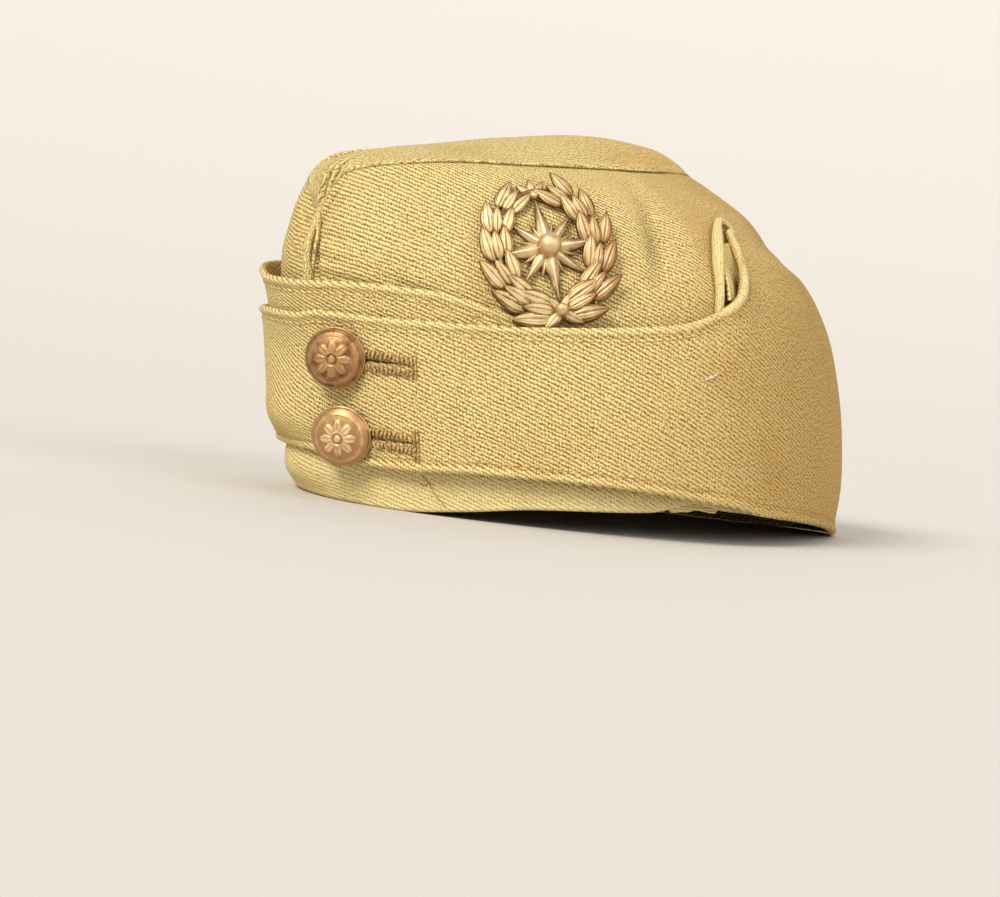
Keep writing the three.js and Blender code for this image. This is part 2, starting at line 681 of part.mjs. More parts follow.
// Left flap with its two buttonholes cut through: a slit that ends in an eye for the shank.
function leftFlap() {
  let solid = toManifold(flap(LEFT_FLAP, 1));
  for (const place of BUTTONS) {
    const slit = new THREE.BoxGeometry(BUTTONHOLE_LENGTH, BUTTONHOLE_WIDTH, 8);
    slit.translate(BUTTONHOLE_LENGTH / 2, 0, -0.5);
    const eye = new THREE.CylinderGeometry(BUTTONHOLE_EYE, BUTTONHOLE_EYE, 8, 10);
    eye.rotateX(Math.PI / 2).translate(0, 0, -0.5);
    const frame = clothFrame(place.at, place.z, flapLift(LEFT_FLAP, place.at, place.z));
    for (const cutter of [slit, eye]) {
      solid = solid.subtract(toManifold(cutter.applyMatrix4(frame)));
    }
  }
  return toGeometry(solid);
}

// Leaf lying flat along +X with its stalk at the origin: flat back, ridge down the middle.
function leafGeometry(length, width, rise) {
  const back = LEAF_OUTLINE.map((p) => new THREE.Vector3(p.along * length, p.across * width, 0));
  const rim = back.map((p) => p.clone().setZ(BADGE_BACK));
  const ridge = new THREE.Vector3(LEAF_RIDGE * length, 0, BADGE_BACK + rise);
  const points = [...back, ...rim, ridge];
  const count = back.length;
  const index = [];
  for (let i = 0; i < count; i++) {
    const next = (i + 1) % count;
    index.push(i, next, count + next, i, count + next, count + i);
    index.push(count + i, count + next, 2 * count);
    if (i > 0 && next > 0) index.push(0, next, i);
  }
  const geometry = new THREE.BufferGeometry().setFromPoints(points);
  geometry.setIndex(index);
  return facingOut(geometry);
}

// Point of the wreath's oval line, counted in turns from the bottom, and its direction.
function wreathPoint(turn) {
  const angle = 2 * Math.PI * turn - Math.PI / 2;
  const x = (WREATH_WIDTH / 2) * Math.cos(angle);
  const y = (WREATH_HEIGHT / 2) * Math.sin(angle);
  const dx = -(WREATH_WIDTH / 2) * Math.sin(angle);
  const dy = (WREATH_HEIGHT / 2) * Math.cos(angle);
  return { x, y, heading: Math.atan2(dy, dx) };
}

function wreathParts() {
  const parts = [];
  const stem = [];
  for (let i = 0; i < 28; i++) {
    const place = wreathPoint(i / 28);
    stem.push(new THREE.Vector3(place.x, place.y, BADGE_BACK));
  }
  const path = new THREE.CatmullRomCurve3(stem, true);
  const profile = new THREE.Shape().absarc(0, 0, WREATH_STEM, 0, 2 * Math.PI);
  const options = { steps: 24, curveSegments: 2, extrudePath: path, bevelEnabled: false };
  parts.push(new THREE.ExtrudeGeometry(profile, options));
  for (const branch of [1, -1]) {
    for (let pair = 0; pair < LEAF_PAIRS; pair++) {
      const turn = BRANCH.start + (BRANCH.length * pair) / LEAF_PAIRS;
      const place = wreathPoint(branch * turn);
      const heading = branch > 0 ? place.heading : place.heading + Math.PI;
      for (const splay of [-LEAF_SPLAY, LEAF_SPLAY]) {
        const leaf = leafGeometry(LEAF_LENGTH, LEAF_WIDTH, LEAF_RISE);
        leaf.rotateZ(heading + splay).translate(place.x, place.y, 0);
        parts.push(leaf);
      }
    }
  }
  return parts;
}

// Star of tapering rays that reach the wreath, round a low boss.
function starParts() {
  const parts = [];
  for (let ray = 0; ray < STAR_RAYS; ray++) {
    const turn = (2 * Math.PI * ray) / STAR_RAYS + Math.PI / 2;
    const long = ray % 2 === 0 ? STAR_REACH : STAR_REACH * 0.62;
    parts.push(leafGeometry(long, STAR_VALLEY, STAR_RISE).rotateZ(turn));
  }
  const boss = new THREE.CylinderGeometry(STAR_BOSS * 0.7, STAR_BOSS, BADGE_BACK + STAR_RISE, 12);
  boss.rotateX(Math.PI / 2).translate(0, 0, (BADGE_BACK + STAR_RISE) / 2);
  parts.push(boss);
  return parts;
}

// Knot that ties the branches at the bottom, and a bud of three leaves at the top.
function trimParts() {
  const parts = [];
  const bottom = -WREATH_HEIGHT / 2;
  for (const splay of [-2.5, -0.64, Math.PI + 2.5, Math.PI + 0.64]) {
    parts.push(leafGeometry(6.5, 3, LEAF_RISE).rotateZ(splay).translate(0, bottom, 0));
  }
  const knot = new THREE.CylinderGeometry(1.8, 2.2, BADGE_BACK + 1.9, 10);
  knot.rotateX(Math.PI / 2).translate(0, bottom, (BADGE_BACK + 1.9) / 2);
  parts.push(knot);
  for (const splay of [-0.6, 0, 0.6]) {
    const bud = leafGeometry(6.2, 3.2, LEAF_RISE).rotateZ(Math.PI / 2 + splay);
    parts.push(bud.translate(0, WREATH_HEIGHT / 2 - 1.5, 0));
  }
  return parts;
}

function badge() {
  const parts = [...wreathParts(), ...starParts(), ...trimParts()];
  const solid = parts.map(toManifold).reduce((sum, part) => sum.add(part));
  const geometry = toGeometry(solid);
  const position = geometry.getAttribute('position');
  for (let i = 0; i < position.count; i++) {
    const across = position.getX(i) ** 2 / (2 * BADGE_BOW.across);
    const up = position.getY(i) ** 2 / (2 * BADGE_BOW.up);
    position.setZ(i, Math.max(position.getZ(i), 0) - across - up);
  }
  geometry.rotateZ(THREE.MathUtils.degToRad(BADGE_LEAN));
  geometry.rotateX(THREE.MathUtils.degToRad(-BADGE_TIP));
  return geometry.applyMatrix4(clothFrame(BADGE_AT, BADGE_Z, BADGE_LIFT));
}

// Finishes
function finish(color, roughness, metalness) {
  return new THREE.MeshStandardMaterial({ color, roughness, metalness });
}
const SERGE = finish(0x9a7c45, 0.95, 0);
const SERGE_WELT = finish(0x8a6d3b, 0.95, 0);
const TWILL_LINING = finish(0xb59a55, 0.9, 0);
const BRONZE = finish(0x6e4a2c, 0.45, 0.9);
const WORN_BRASS = finish(0x86693c, 0.4, 0.9);

const cap = new THREE.Group();

function addPiece(name, geometry, material) {
  const mesh = new THREE.Mesh(geometry, material);
  mesh.name = name;
  cap.add(mesh);
}

addPiece('crown_left', crownSide(1), SERGE);
addPiece('crown_right', crownSide(-1), SERGE);
addPiece('crown_top', crownTop(), SERGE);
addPiece('welt_front', frontWelt(), SERGE_WELT);
addPiece('welt_top_left', topWelt(1, TOP_WELT_RADIUS.left), SERGE_WELT);
addPiece('welt_top_right', topWelt(-1, TOP_WELT_RADIUS.right), SERGE_WELT);
addPiece('flap_left', leftFlap(), SERGE);
addPiece('flap_right', flap(RIGHT_FLAP, -1), SERGE);
addPiece('lining_band', liningBand(), TWILL_LINING);
for (const [name, side] of [['left', 1], ['right', -1]]) {
  addPiece(`vent_roll_${name}`, ventRoll(side), SERGE_WELT);
  addPiece(`vent_lining_${name}`, ventLining(side), TWILL_LINING);
}
for (const place of BUTTONS) {
  addPiece(place.name, button(place), BRONZE);
}
addPiece('badge', badge(), WORN_BRASS);

export default cap;
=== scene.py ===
"""Field service cap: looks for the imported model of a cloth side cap.

Tables and sizes are in millimetres and turned into metres where a mesh is made.
The front of the cap faces -Y, the wearer's left side is +X, and it stands on z = 0.

A station is a place along one side of the cap: 0 at the front seam, 1 where the cap is
widest, and 2 at the back crease. Stations are negative on the wearer's right.
"""

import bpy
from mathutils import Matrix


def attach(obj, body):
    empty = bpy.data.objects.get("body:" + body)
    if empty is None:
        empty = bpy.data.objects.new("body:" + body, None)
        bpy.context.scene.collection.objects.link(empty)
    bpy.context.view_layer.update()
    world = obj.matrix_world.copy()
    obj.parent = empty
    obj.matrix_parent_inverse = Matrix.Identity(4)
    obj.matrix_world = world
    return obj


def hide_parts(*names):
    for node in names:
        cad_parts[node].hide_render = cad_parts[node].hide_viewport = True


bl_info = {
    "name": "Field service cap",
    "version": (1, 0, 0),
    "blender": (4, 5, 0),
    "location": "3D View > Sidebar > Cap",
    "description": "Builds a cloth side cap with turned-up flaps, buttons and a wreath badge",
    "category": "Add Mesh",
}

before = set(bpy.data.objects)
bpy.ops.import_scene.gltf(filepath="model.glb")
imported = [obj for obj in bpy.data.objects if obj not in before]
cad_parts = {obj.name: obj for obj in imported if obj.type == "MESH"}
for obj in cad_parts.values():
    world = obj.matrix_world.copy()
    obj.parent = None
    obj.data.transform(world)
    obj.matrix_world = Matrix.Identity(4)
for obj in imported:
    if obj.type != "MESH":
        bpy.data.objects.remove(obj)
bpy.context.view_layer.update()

import math

import bpy
import numpy as np
from mathutils import Matrix, Vector

MM = 0.001
LEFT, RIGHT = 1, -1  # the wearer's own sides, and the signs of their stations

# Driving sizes of the cloth, the same as in the part's source
WIDEST_Y = -18.6  # where the cap is widest
CROWN_CLOTH = 1.6  # thickness of the crown's wall
FLAP_CLOTH = 1.8  # thickness of a flap's doubled cloth
FRONT_SHOULDER = 0.58  # fullness of a level section ahead of the widest place
REAR_SHOULDER = 0.44  # fullness behind it
FLARE_POWER = 4  # a flap flares with this power of the height up to its upper hem
LINING_CLOTH = 1.0
LINING_GAP = 0.5
LINING_TOP = 26.0


def table(columns, *rows):
    """Rows of values under the names of their columns."""
    return [dict(zip(columns.split(), row)) for row in rows]


# Level sections of the crown, drawn around the widest place
CROWN_SECTIONS = table(
    "z front half rear nose tail",
    (0, 75.5, 74.5, 130, 29, 12),
    (20, 80, 76, 127.8, 30, 12),
    (40, 85.8, 77.5, 124, 31, 12),
    (60, 89.8, 78, 116.5, 29, 13),
    (75, 92.5, 76, 106.5, 28, 14),
    (86, 90.3, 71.5, 96, 27, 14),
    (95, 88.6, 65, 89.8, 26, 13),
    (103, 86, 56, 78.5, 25, 12),
    (108, 82, 46, 68.5, 22, 9),
    (111, 72, 39, 62, 19, 8),
    (114, 58, 31, 54.5, 15, 7),
    (117, 44, 25, 46, 12, 6),
)

# Heights of the rim and of the top seams on both sides
CROWN_EDGES = table(
    "at rim_left rim_right left right",
    (0, 0, 0, 86, 86),
    (0.03, 0, 0, 92.5, 88.4),
    (0.08, 0, 0, 99.5, 92),
    (0.2, 0, 0, 103, 96.4),
    (0.3, 0, 0, 104.8, 99.6),
    (0.46, 1.8, 0.1, 107.2, 104.6),
    (0.67, 5.6, 0.1, 109, 109.2),
    (0.93, 7.9, 0.1, 111.5, 112.6),
    (1.15, 9.7, 0.1, 112.8, 113.4),
    (1.4, 7.4, 0.1, 114, 114.2),
    (1.7, 4.4, 0.2, 114.6, 114.6),
    (2, 0.8, 0.8, 114.2, 114.2),
)
SQUASHED_CORNER = {"push": -1.0, "z": 89, "tall": 8, "reach": 0.5}

# Soft dents and swellings of the crown's sides; side 0 is both
CROWN_FOLDS = table(
    "side at z spread tall rise",
    (0, 0, 78, 0.06, 13, -1.4),
    (0, 0.13, 88, 0.09, 9, 1.2),
    (1, 0.62, 98, 0.2, 9, 0.6),
    (1, 0.92, 92, 0.05, 13, -1.1),
    (-1, 0.8, 90, 0.06, 12, -1),
    (0, 1.75, 101, 0.2, 5, -1.2),
    (0, 1.7, 95.5, 0.26, 3.6, -1.7),
    (0, 1.72, 85, 0.26, 5, 0.7),
    (-1, 0.2, 8, 0.3, 8, 3.2),
    (1, 0, 8, 0.15, 8, 2.05),
    (-1, 0.2, 0, 0.3, 5, -2.8),
    (1, 0, 0, 0.15, 5, -1.8),
    (1, 0.3, 97, 0.1, 10, -0.5),
    (1, 0.44, 84, 0.08, 12, 0.5),
)

# Dents and swellings of both flaps, placed by stations
FLAP_FOLDS = table(
    "place z spread tall rise",
    (-0.12, 46, 0.2, 9, -2.3),
    (-0.12, 26, 0.22, 7, 3.0),
    (-0.2, 13, 0.27, 6.5, -3.1),
    (0.3, 35, 0.07, 16, -0.5),
    (0.62, 44, 0.25, 12, 0.5),
    (1.25, 60, 0.12, 22, -0.6),
    (1.5, 40, 0.16, 25, 0.5),
    (1.75, 0, 0.3, 11, -1.7),
    (-1.75, 0, 0.3, 11, -1.7),
)

# Sharp creases of the crown, from one station and height to another
CROWN_CREASES = table(
    "side from to width depth",
    (1, (0.052, 66), (0.04, 79), 1.0, 1.0),
    (1, (0.022, 84), (0.1, 98.5), 0.9, 0.75),
    (1, (0.026, 82), (0.17, 96), 1.2, 0.4),
    (-1, (0.008, 84), (0.075, 91), 0.8, 1.0),
    (-1, (0.014, 80), (0.1, 87.5), 0.9, 0.6),
    (-1, (0.01, 66), (0.012, 80), 0.9, 0.9),
    (-1, (0.03, 70), (0.14, 77), 1.1, 0.4),
    (1, (0.03, 74), (0.2, 72), 1.6, 0.4),
    (1, (0.02, 80), (0.22, 80), 1.4, 0.35),
    (1, (0.03, 69), (0.3, 66), 1.5, 0.45),
    (1, (0.905, 78), (0.93, 106), 2.4, 0.9),
    (1, (0.28, 70), (0.5, 62), 1.8, 0.5),
    (-1, (0.75, 74), (0.82, 104), 2.4, 0.6),
)

# Creases of the top panel: distances back from its front tip, and to the right of its middle
TOP_CREASES = table(
    "from to width depth",
    ((1, 0.3), (19, 0.6), 0.9, 1.1),
    ((2, -0.8), (22, -4.8), 0.9, 0.8),
    ((2, 0.9), (15, 3.2), 0.8, 0.9),
)

# Middle line of the top panel, with y measured from the widest place
TOP_SPINE = table(
    "y z",
    (-90.2, 86),
    (-88.7, 95.5),
    (-86.4, 102.6),
    (-74, 107.6),
    (-59.4, 110.9),
    (-44.2, 113.6),
    (-17.4, 119.1),
    (14.8, 122.8),
    (31.6, 122.2),
    (43, 119.6),
    (53.8, 114.4),
)

# Flaps: heights of both hems, distance from the crown to the outer face, and how much
# further the upper hem stands off
LEFT_FLAP = table(
    "at lower upper lift flare",
    (-0.72, 27, 44, 5.4, 0),
    (-0.64, 18.5, 53.5, 5.4, 0.4),
    (-0.5, 14.6, 57.2, 5.4, 1.2),
    (-0.25, 14.6, 57.2, 5.4, 1.6),
    (0, 15, 57, 5.4, 1.6),
    (0.12, 13.3, 58.6, 5.4, 1.6),
    (0.3, 13.2, 58.4, 5.4, 1.4),
    (0.52, 14.9, 59.3, 5.5, 1),
    (0.77, 15.4, 62.2, 5.5, 0.4),
    (0.94, 14.5, 65.6, 5.4, 0.4),
    (1.03, 13.4, 70.6, 5.4, 0),
    (1.09, 12.5, 75.6, 5.4, 0),
    (1.12, 12, 82, 5.4, 0),
    (1.145, 11.5, 91, 5.4, -1.8),
    (1.19, 10, 96.5, 5.4, -4.3),
    (1.36, 7.6, 94, 5.4, -3.4),
    (1.6, 3.8, 91, 5.6, -2.9),
    (1.8, 0.2, 89.6, 5.6, -3),
    (2, 0, 89.5, 5.6, -3),
)
RIGHT_FLAP = table(
    "at lower upper lift flare",
    (-0.76, 30, 46, 2.7, 0),
    (-0.66, 21, 61, 2.7, 0),
    (-0.54, 17, 64.6, 2.7, 0.2),
    (-0.41, 16, 67.6, 2.7, 1),
    (-0.26, 16, 67.8, 2.7, 1.4),
    (0, 16, 66.8, 2.7, 2.2),
    (0.18, 16, 67.2, 2.7, 3.4),
    (0.4, 15, 70, 2.7, 4),
    (0.6, 14, 71, 2.7, 3.4),
    (0.78, 13.4, 70.4, 2.9, 2.4),
    (0.94, 13, 70, 5.4, 0.4),
    (1.03, 12.2, 72, 5.4, 0),
    (1.09, 11.5, 75.6, 5.4, 0),
    (1.12, 11.2, 82, 5.4, 0),
    (1.145, 10.9, 91, 5.4, -1.8),
    (1.19, 10, 96.5, 5.4, -4.3),
    (1.36, 6.8, 94, 5.4, -3.4),
    (1.6, 2.6, 91, 5.6, -2.9),
    (1.8, 0, 89.6, 5.6, -3),
    (2, 0, 89.5, 5.6, -3),
)
VENT_TOP_AT = 1.19  # up to here the flap's upper edge is free; behind it grows from the crown
ROOT_FADE = 9.0  # height over which a flap grows out of the crown behind the vent

# Rolled lip at the front of each side vent, the lining in its mouth and the hollow behind
VENT_ROLL = table(
    "at z radius",
    (1.05, 69.5, 1.4),
    (1.06, 79, 1.5),
    (1.071, 86, 1.9),
    (1.1, 92.5, 1.75),
    (1.14, 97, 1.35),
    (1.175, 98.6, 1.1),
    (1.203, 97.6, 0.9),
    (1.225, 95.4, 0.4),
)
VENT_LINING = table(
    "at low high",
    (1.078, 74.5, 86),
    (1.1, 74.5, 91),
    (1.15, 75, 92),
)
VENT_HOLLOW = {"at": 1.108, "reach": 0.016, "z": 81, "tall": 5.5}

# How far the lining's lower edge is above the rim, and where it peeps out below it
LINING_EDGE = table(
    "at raise",
    (0, 1.2),
    (0.99, 1.2),
    (1.02, -2.6),
    (1.06, -3.0),
    (1.11, -2.6),
    (1.14, 1.2),
    (2, 1.2),
)
PEEP_AT = 1.06

# Buttons and the badge
# The last column is painted light that makes a button paler all over; the lower button gets it.
BUTTONS = table(
    "name at z bar wear",
    ("button_upper", 0.178, 45.5, 7.5, 0.0),
    ("button_lower", 0.174, 22.8, 10, 0.22),
)
BUTTON_RADIUS = 9.5
BUTTON_RIM = 1.4
BUTTON_DOME = 5.0
BUTTON_STAND_OFF = 2.3
BUTTON_TILT = 19
SHANK_RADIUS = 1.7
SHANK_FOOT_LIFT = 3.3
BUTTONHOLE_LENGTH = 23.0
SLIT_SLOPE = 0.035  # fall of a buttonhole towards the rear
BADGE_AT = 0.665
BADGE_Z = 83.4
BADGE_LEAN = 17
BADGE_TIP = -1
BADGE_BOW = {"across": 350.0, "up": 72.0}
BADGE_LIFT = 1.15
BADGE_BACK = 0.9  # thickness behind the relief of the badge
WREATH_WIDTH = 30.0
WREATH_HEIGHT = 39.0

# Leaves, rays and beads of the badge: largest size of each
LEAF = {"length": 12.6, "width": 5.4, "rise": 1.3}
RAY = {"length": 17.0, "width": 5.2, "rise": 1.9}
BEAD = {"radius": 1.0, "rise": 0.9}
STAR_RAYS = 16
BRANCH_STEPS = 6
BRANCH_BEADS = 8

# Rows of stitches: distances from a hem or from a buttonhole's slit
HEM_STITCH_INSET = 4.0
PURL_INSET = 1.95
PURL_START = 8.5  # the first stitches are hidden by the button
PURL_ARCH = 0.5  # how far the middle of a buttonhole's stitch stands up

# Loose ends of thread on the band and a fleck of lint, through stations and heights
LONG_THREAD = [(0.365, 11.5), (0.385, 9.6), (0.4, 6.8), (0.418, 4.6), (0.43, 3.0)]
SHORT_THREAD = [(0.387, 9.8), (0.372, 8.6), (0.36, 9.2)]
LINT_FLECK = [(1.004, 50.2), (1.014, 51.2), (1.024, 51.6), (1.036, 53.2)]

# Lights: angles round and up and how wide each one is, in degrees, and the property that
# holds its strength
LIGHTS = table(
    "name azimuth elevation spread power colour",
    ("key_light", 20, 37, 22, "key_power", (1.0, 0.96, 0.9)),
    ("fill_light", 98, 20, 60, "fill_power", (1.0, 0.97, 0.92)),
    ("rear_light", 220, 38, 60, "rear_power", (1.0, 0.97, 0.92)),
)

# Camera: the photo's view of the cap
CAMERA_AZIMUTH = 52.0
CAMERA_ELEVATION = 0.5
CAMERA_ROLL = 6.8
CAMERA_DISTANCE = 1100.0
CAMERA_TARGET = (0.0, -13.6, 60.0)
PHOTO_SIZE = (1000, 897)
TARGET_PIXEL = (552.0, 327.4)
PIXELS_PER_MM = 3.1
SENSOR_WIDTH = 36.0


# Curves and places


class Track:
    """Smooth curve through one column of a table, without overshoot between the rows."""

    def __init__(self, rows, key, column):
        self.x = np.array([row[key] for row in rows], float)
        self.y = np.array([row[column] for row in rows], float)
        slopes = np.diff(self.y) / np.diff(self.x)
        before, after = slopes[:-1], slopes[1:]
        rising = before * after > 0
        total = np.where(rising, before + after, 1)
        bends = np.where(rising, 2 * before * after / total, 0)
        self.bends = np.concatenate([slopes[:1], bends, slopes[-1:]])

    def __call__(self, value):
        value = np.clip(np.asarray(value, float), self.x[0], self.x[-1])
        i = np.clip(np.searchsorted(self.x, value, side="right") - 1, 0, len(self.x) - 2)
        step = self.x[i + 1] - self.x[i]
        t = (value - self.x[i]) / step
        start = t * (1 - t) ** 2 * step * self.bends[i]
        end = t * t * (1 - t) * step * self.bends[i + 1]
        return self.y[i] + (self.y[i + 1] - self.y[i]) * ease(t) + start - end


def bezier(t, a, b, c, d):
    u = 1 - t
    return u**3 * a + 3 * u * u * t * b + 3 * u * t * t * c + t**3 * d


def bump(value, middle, spread):
    """Smooth hill of height 1 around a middle."""
    return np.exp(-(((value - middle) / spread) ** 2))


def ease(value):
    """0 below 0, 1 above 1, smooth in between."""
    t = np.clip(value, 0, 1)
    return t * t * (3 - 2 * t)


def falling(distance, width):
    """1 on an edge, steeply falling to 0 at a width from it."""
    return np.clip(1 - distance / width, 0, 1) ** 2


def unit(vectors):
    return vectors / np.linalg.norm(vectors, axis=-1, keepdims=True)


def lengths(path):
    """How far along a path each of its points lies."""
    return np.concatenate([[0], np.cumsum(np.linalg.norm(np.diff(path, axis=0), axis=1))])


def paired(at, z):
    """Stations and heights as arrays of one shape."""
    return np.broadcast_arrays(np.asarray(at, float), np.asarray(z, float))


def side_of(at):
    """LEFT or RIGHT for each station."""
    return np.where(np.asarray(at) < 0, RIGHT, LEFT)


SECTION = [Track(CROWN_SECTIONS, "z", name) for name in ("front", "half", "rear", "nose", "tail")]
RIMS = {LEFT: Track(CROWN_EDGES, "at", "rim_left"), RIGHT: Track(CROWN_EDGES, "at", "rim_right")}
SEAM = {LEFT: Track(CROWN_EDGES, "at", "left"), RIGHT: Track(CROWN_EDGES, "at", "right")}
SPINE = Track(TOP_SPINE, "y", "z")
LINING_RAISE = Track(LINING_EDGE, "at", "raise")


def rim_height(at):
    """Height of the crown's lower edge, which is turned up a little where the lining shows."""
    left = RIMS[LEFT](np.abs(at)) + 2.4 * bump(np.asarray(at), PEEP_AT, 0.06)
    return np.where(np.asarray(at) < 0, RIMS[RIGHT](np.abs(at)), left)


def corner_squash(station, z):
    """How far the right front corner of the top is squashed in, or swells where negative."""
    along = np.minimum(station / SQUASHED_CORNER["reach"], 1) ** 0.7
    hill = bump(z, SQUASHED_CORNER["z"], SQUASHED_CORNER["tall"])
    return math.sqrt(0.5) * SQUASHED_CORNER["push"] * hill * np.sin(np.pi * along) ** 2


def smooth_crown(at, z):
    """Points of the smooth crown at stations and heights."""
    at, z = paired(at, z)
    side, station = side_of(at), np.minimum(np.abs(at), 2)
    ahead, behind = np.minimum(station, 1), np.maximum(station - 1, 0)
    front, half, rear, nose, tail = (track(z) for track in SECTION)
    squash = np.where(side == RIGHT, corner_squash(ahead, z), 0)
    front_x = bezier(ahead, 0, nose, half, half) - squash
    front_y = bezier(ahead, -front, -front, -front * FRONT_SHOULDER, 0) + squash
    rear_x = bezier(behind, half, half, tail, 0)
    rear_y = bezier(behind, 0, rear * REAR_SHOULDER, rear, rear)
    x = np.where(station <= 1, front_x, rear_x)
    y = np.where(station <= 1, front_y, rear_y)
    return np.stack([side * x, WIDEST_Y + y, z + 0 * x], axis=-1)


def flat_on_seams(normal, station, step):
    """Unit directions, which lie in the middle plane on the front seam and the back crease."""
    on_seam = (station < step) | (station > 2 - step)
    normal[..., 0] = np.where(on_seam, 0, normal[..., 0])
    return unit(normal)


def crown_normal(at, z):
    """Outward directions of the smooth crown."""
    at, z = paired(at, z)
    side, step, rise = side_of(at), 0.004, 0.25
    station = np.clip(np.abs(at), step, 2 - step)
    along = smooth_crown(side * (station + step), z) - smooth_crown(side * (station - step), z)
    up = smooth_crown(side * station, z + rise) - smooth_crown(side * station, z - rise)
    return flat_on_seams(np.cross(along, up) * side[..., None], np.abs(at), step)


def on_crown(at, z, lift):
    """Points lifted off the smooth crown."""
    return smooth_crown(at, z) + crown_normal(at, z) * np.asarray(lift)[..., None]


def fold_rise(at, z):
    """How far the soft folds push the cloth out."""
    rise = 0.0
    for fold in CROWN_FOLDS:
        here = (fold["side"] == 0) | (fold["side"] == side_of(at))
        hill = bump(np.abs(at), fold["at"], fold["spread"]) * bump(z, fold["z"], fold["tall"])
        rise = rise + np.where(here, fold["rise"] * hill, 0)
    return rise


def flap_fold(place, z):
    """How far the dents and swellings push a flap out."""
    rise = 0.0
    for fold in FLAP_FOLDS:
        hill = fold["rise"] * bump(place, fold["place"], fold["spread"])
        rise = rise + hill * bump(z, fold["z"], fold["tall"])
    return rise


STATION_MM = 95.0  # rough length of one station along the cloth


def crease_cut(crease, x, y, scale=1.0):
    """Depth of one crease at places, with its own places stretched along x by the scale."""
    x0, y0 = crease["from"][0] * scale, crease["from"][1]
    x1, y1 = crease["to"][0] * scale, crease["to"][1]
    length2 = (x1 - x0) ** 2 + (y1 - y0) ** 2
    t = np.clip(((x - x0) * (x1 - x0) + (y - y0) * (y1 - y0)) / length2, 0, 1)
    off = np.hypot(x - x0 - t * (x1 - x0), y - y0 - t * (y1 - y0))
    fade = 0.35 + 0.65 * np.sin(np.pi * np.clip(0.08 + 0.9 * t, 0, 1))
    return 1.5 * crease["depth"] * fade * bump(off, 0, crease["width"])


def crease_depth(at, z):
    """How deep the sharp creases cut into the cloth of the crown's sides."""
    x, y = np.abs(at) * STATION_MM, np.asarray(z, float)
    depth = 0.0
    for crease in CROWN_CREASES:
        here = side_of(at) == crease["side"]
        depth = depth + np.where(here, crease_cut(crease, x, y, STATION_MM), 0)
    return depth


def ripple(u, v):
    """Slight unevenness of worn cloth."""
    slow = np.sin(u / 13.0 + 0.8 * np.sin(v / 17.0)) * np.sin(v / 15.0 + 1.3 + 0.6 * np.sin(u / 21.0))
    quick = np.sin(u / 5.1 + v / 7.7) * np.sin(v / 6.3 - u / 9.1)
    return 0.28 * slow + 0.1 * quick


class ClothMap:
    """Distances along the cloth: u round the cap from the front seam, v up from the ground."""

    def __init__(self):
        self.stations = np.linspace(0, 2, 201)
        heights = np.linspace(0, 117, 118)
        self.u = lengths(smooth_crown(self.stations, 45.0))
        grid = smooth_crown(self.stations[:, None], heights[None, :])
        rises = np.linalg.norm(np.diff(grid, axis=1), axis=2)
        self.v = np.concatenate([np.zeros((len(self.stations), 1)), np.cumsum(rises, axis=1)], axis=1)

    def __call__(self, at, z):
        at, z = paired(at, z)
        station = np.clip(np.abs(at), 0, 2)
        u = np.interp(station, self.stations, self.u) * side_of(at)
        i = np.clip((station * 100).astype(int), 0, 199)
        j = np.clip(z.astype(int), 0, 116)
        s, t = station * 100 - i, z - j
        low = self.v[i, j] * (1 - s) + self.v[i + 1, j] * s
        high = self.v[i, j + 1] * (1 - s) + self.v[i + 1, j + 1] * s
        return u, low + (high - low) * t


CLOTH = ClothMap()
RIB_FALL = 0.4  # how steeply the ribs fall towards the rear
CROWN_FRONT_FALL = 0.14  # how steeply they fall at the front seam of the crown
NOSE_REACH = 38.0  # how far the cloth is stretched round the nose


def weave_uv(at, z, front_fall=RIB_FALL):
    """Places on the cloth in millimetres, sheared so that the ribs run level in them."""
    u, v = CLOTH(at, z)
    fall = RIB_FALL * u - (RIB_FALL - front_fall) * NOSE_REACH * np.tanh(u / NOSE_REACH)
    return np.stack([u - 0.35 * v, v + fall], axis=-1)


def stations(count, crowding):
    """Stations from 0 to 2, closer together at the front and at the back."""
    u = np.linspace(0, 1, count + 1)
    return 2 * (u - crowding * np.sin(2 * np.pi * u) / (2 * np.pi))


def keep_side(points, side, gap):
    """Keeps points on their own side of the middle plane."""
    points[..., 0] = side * np.maximum(side * points[..., 0], gap)
    return points


# Meshes


def quads(index):
    """Four-sided faces of a grid of point numbers."""
    return np.stack([index[:-1, :-1], index[1:, :-1], index[1:, 1:], index[:-1, 1:]], axis=-1).reshape(-1, 4)


def turns(sides):
    return np.linspace(0, 2 * np.pi, sides, endpoint=False)


def rings(profile, sides):
    """Level rings of points from pairs of a radius and a height."""
    return np.array([[(r * math.cos(t), r * math.sin(t), h) for t in turns(sides)] for r, h in profile])


def ring_index(count, sides):
    """Point numbers of a stack of rings, each with its first point again at its end."""
    index = np.arange(count * sides).reshape(count, sides)
    return np.concatenate([index, index[:, :1]], axis=1)


def capped(index):
    """Faces of a stack of rings, closed at both ends."""
    return [*quads(index).tolist(), index[0, :-1].tolist(), index[-1, :-1][::-1].tolist()]


def new_object(name, mesh):
    obj = bpy.data.objects.new(name, mesh)
    bpy.context.scene.collection.objects.link(obj)
    return obj


def carry(mesh, name, values):
    """Lets the points of a mesh carry numbers or directions under a name."""
    values = np.array(values, np.float32)
    kind, field = ("FLOAT", "value") if values.ndim == 1 else ("FLOAT_VECTOR", "vector")
    mesh.attributes.new(name, kind, "POINT").data.foreach_set(field, values.ravel())


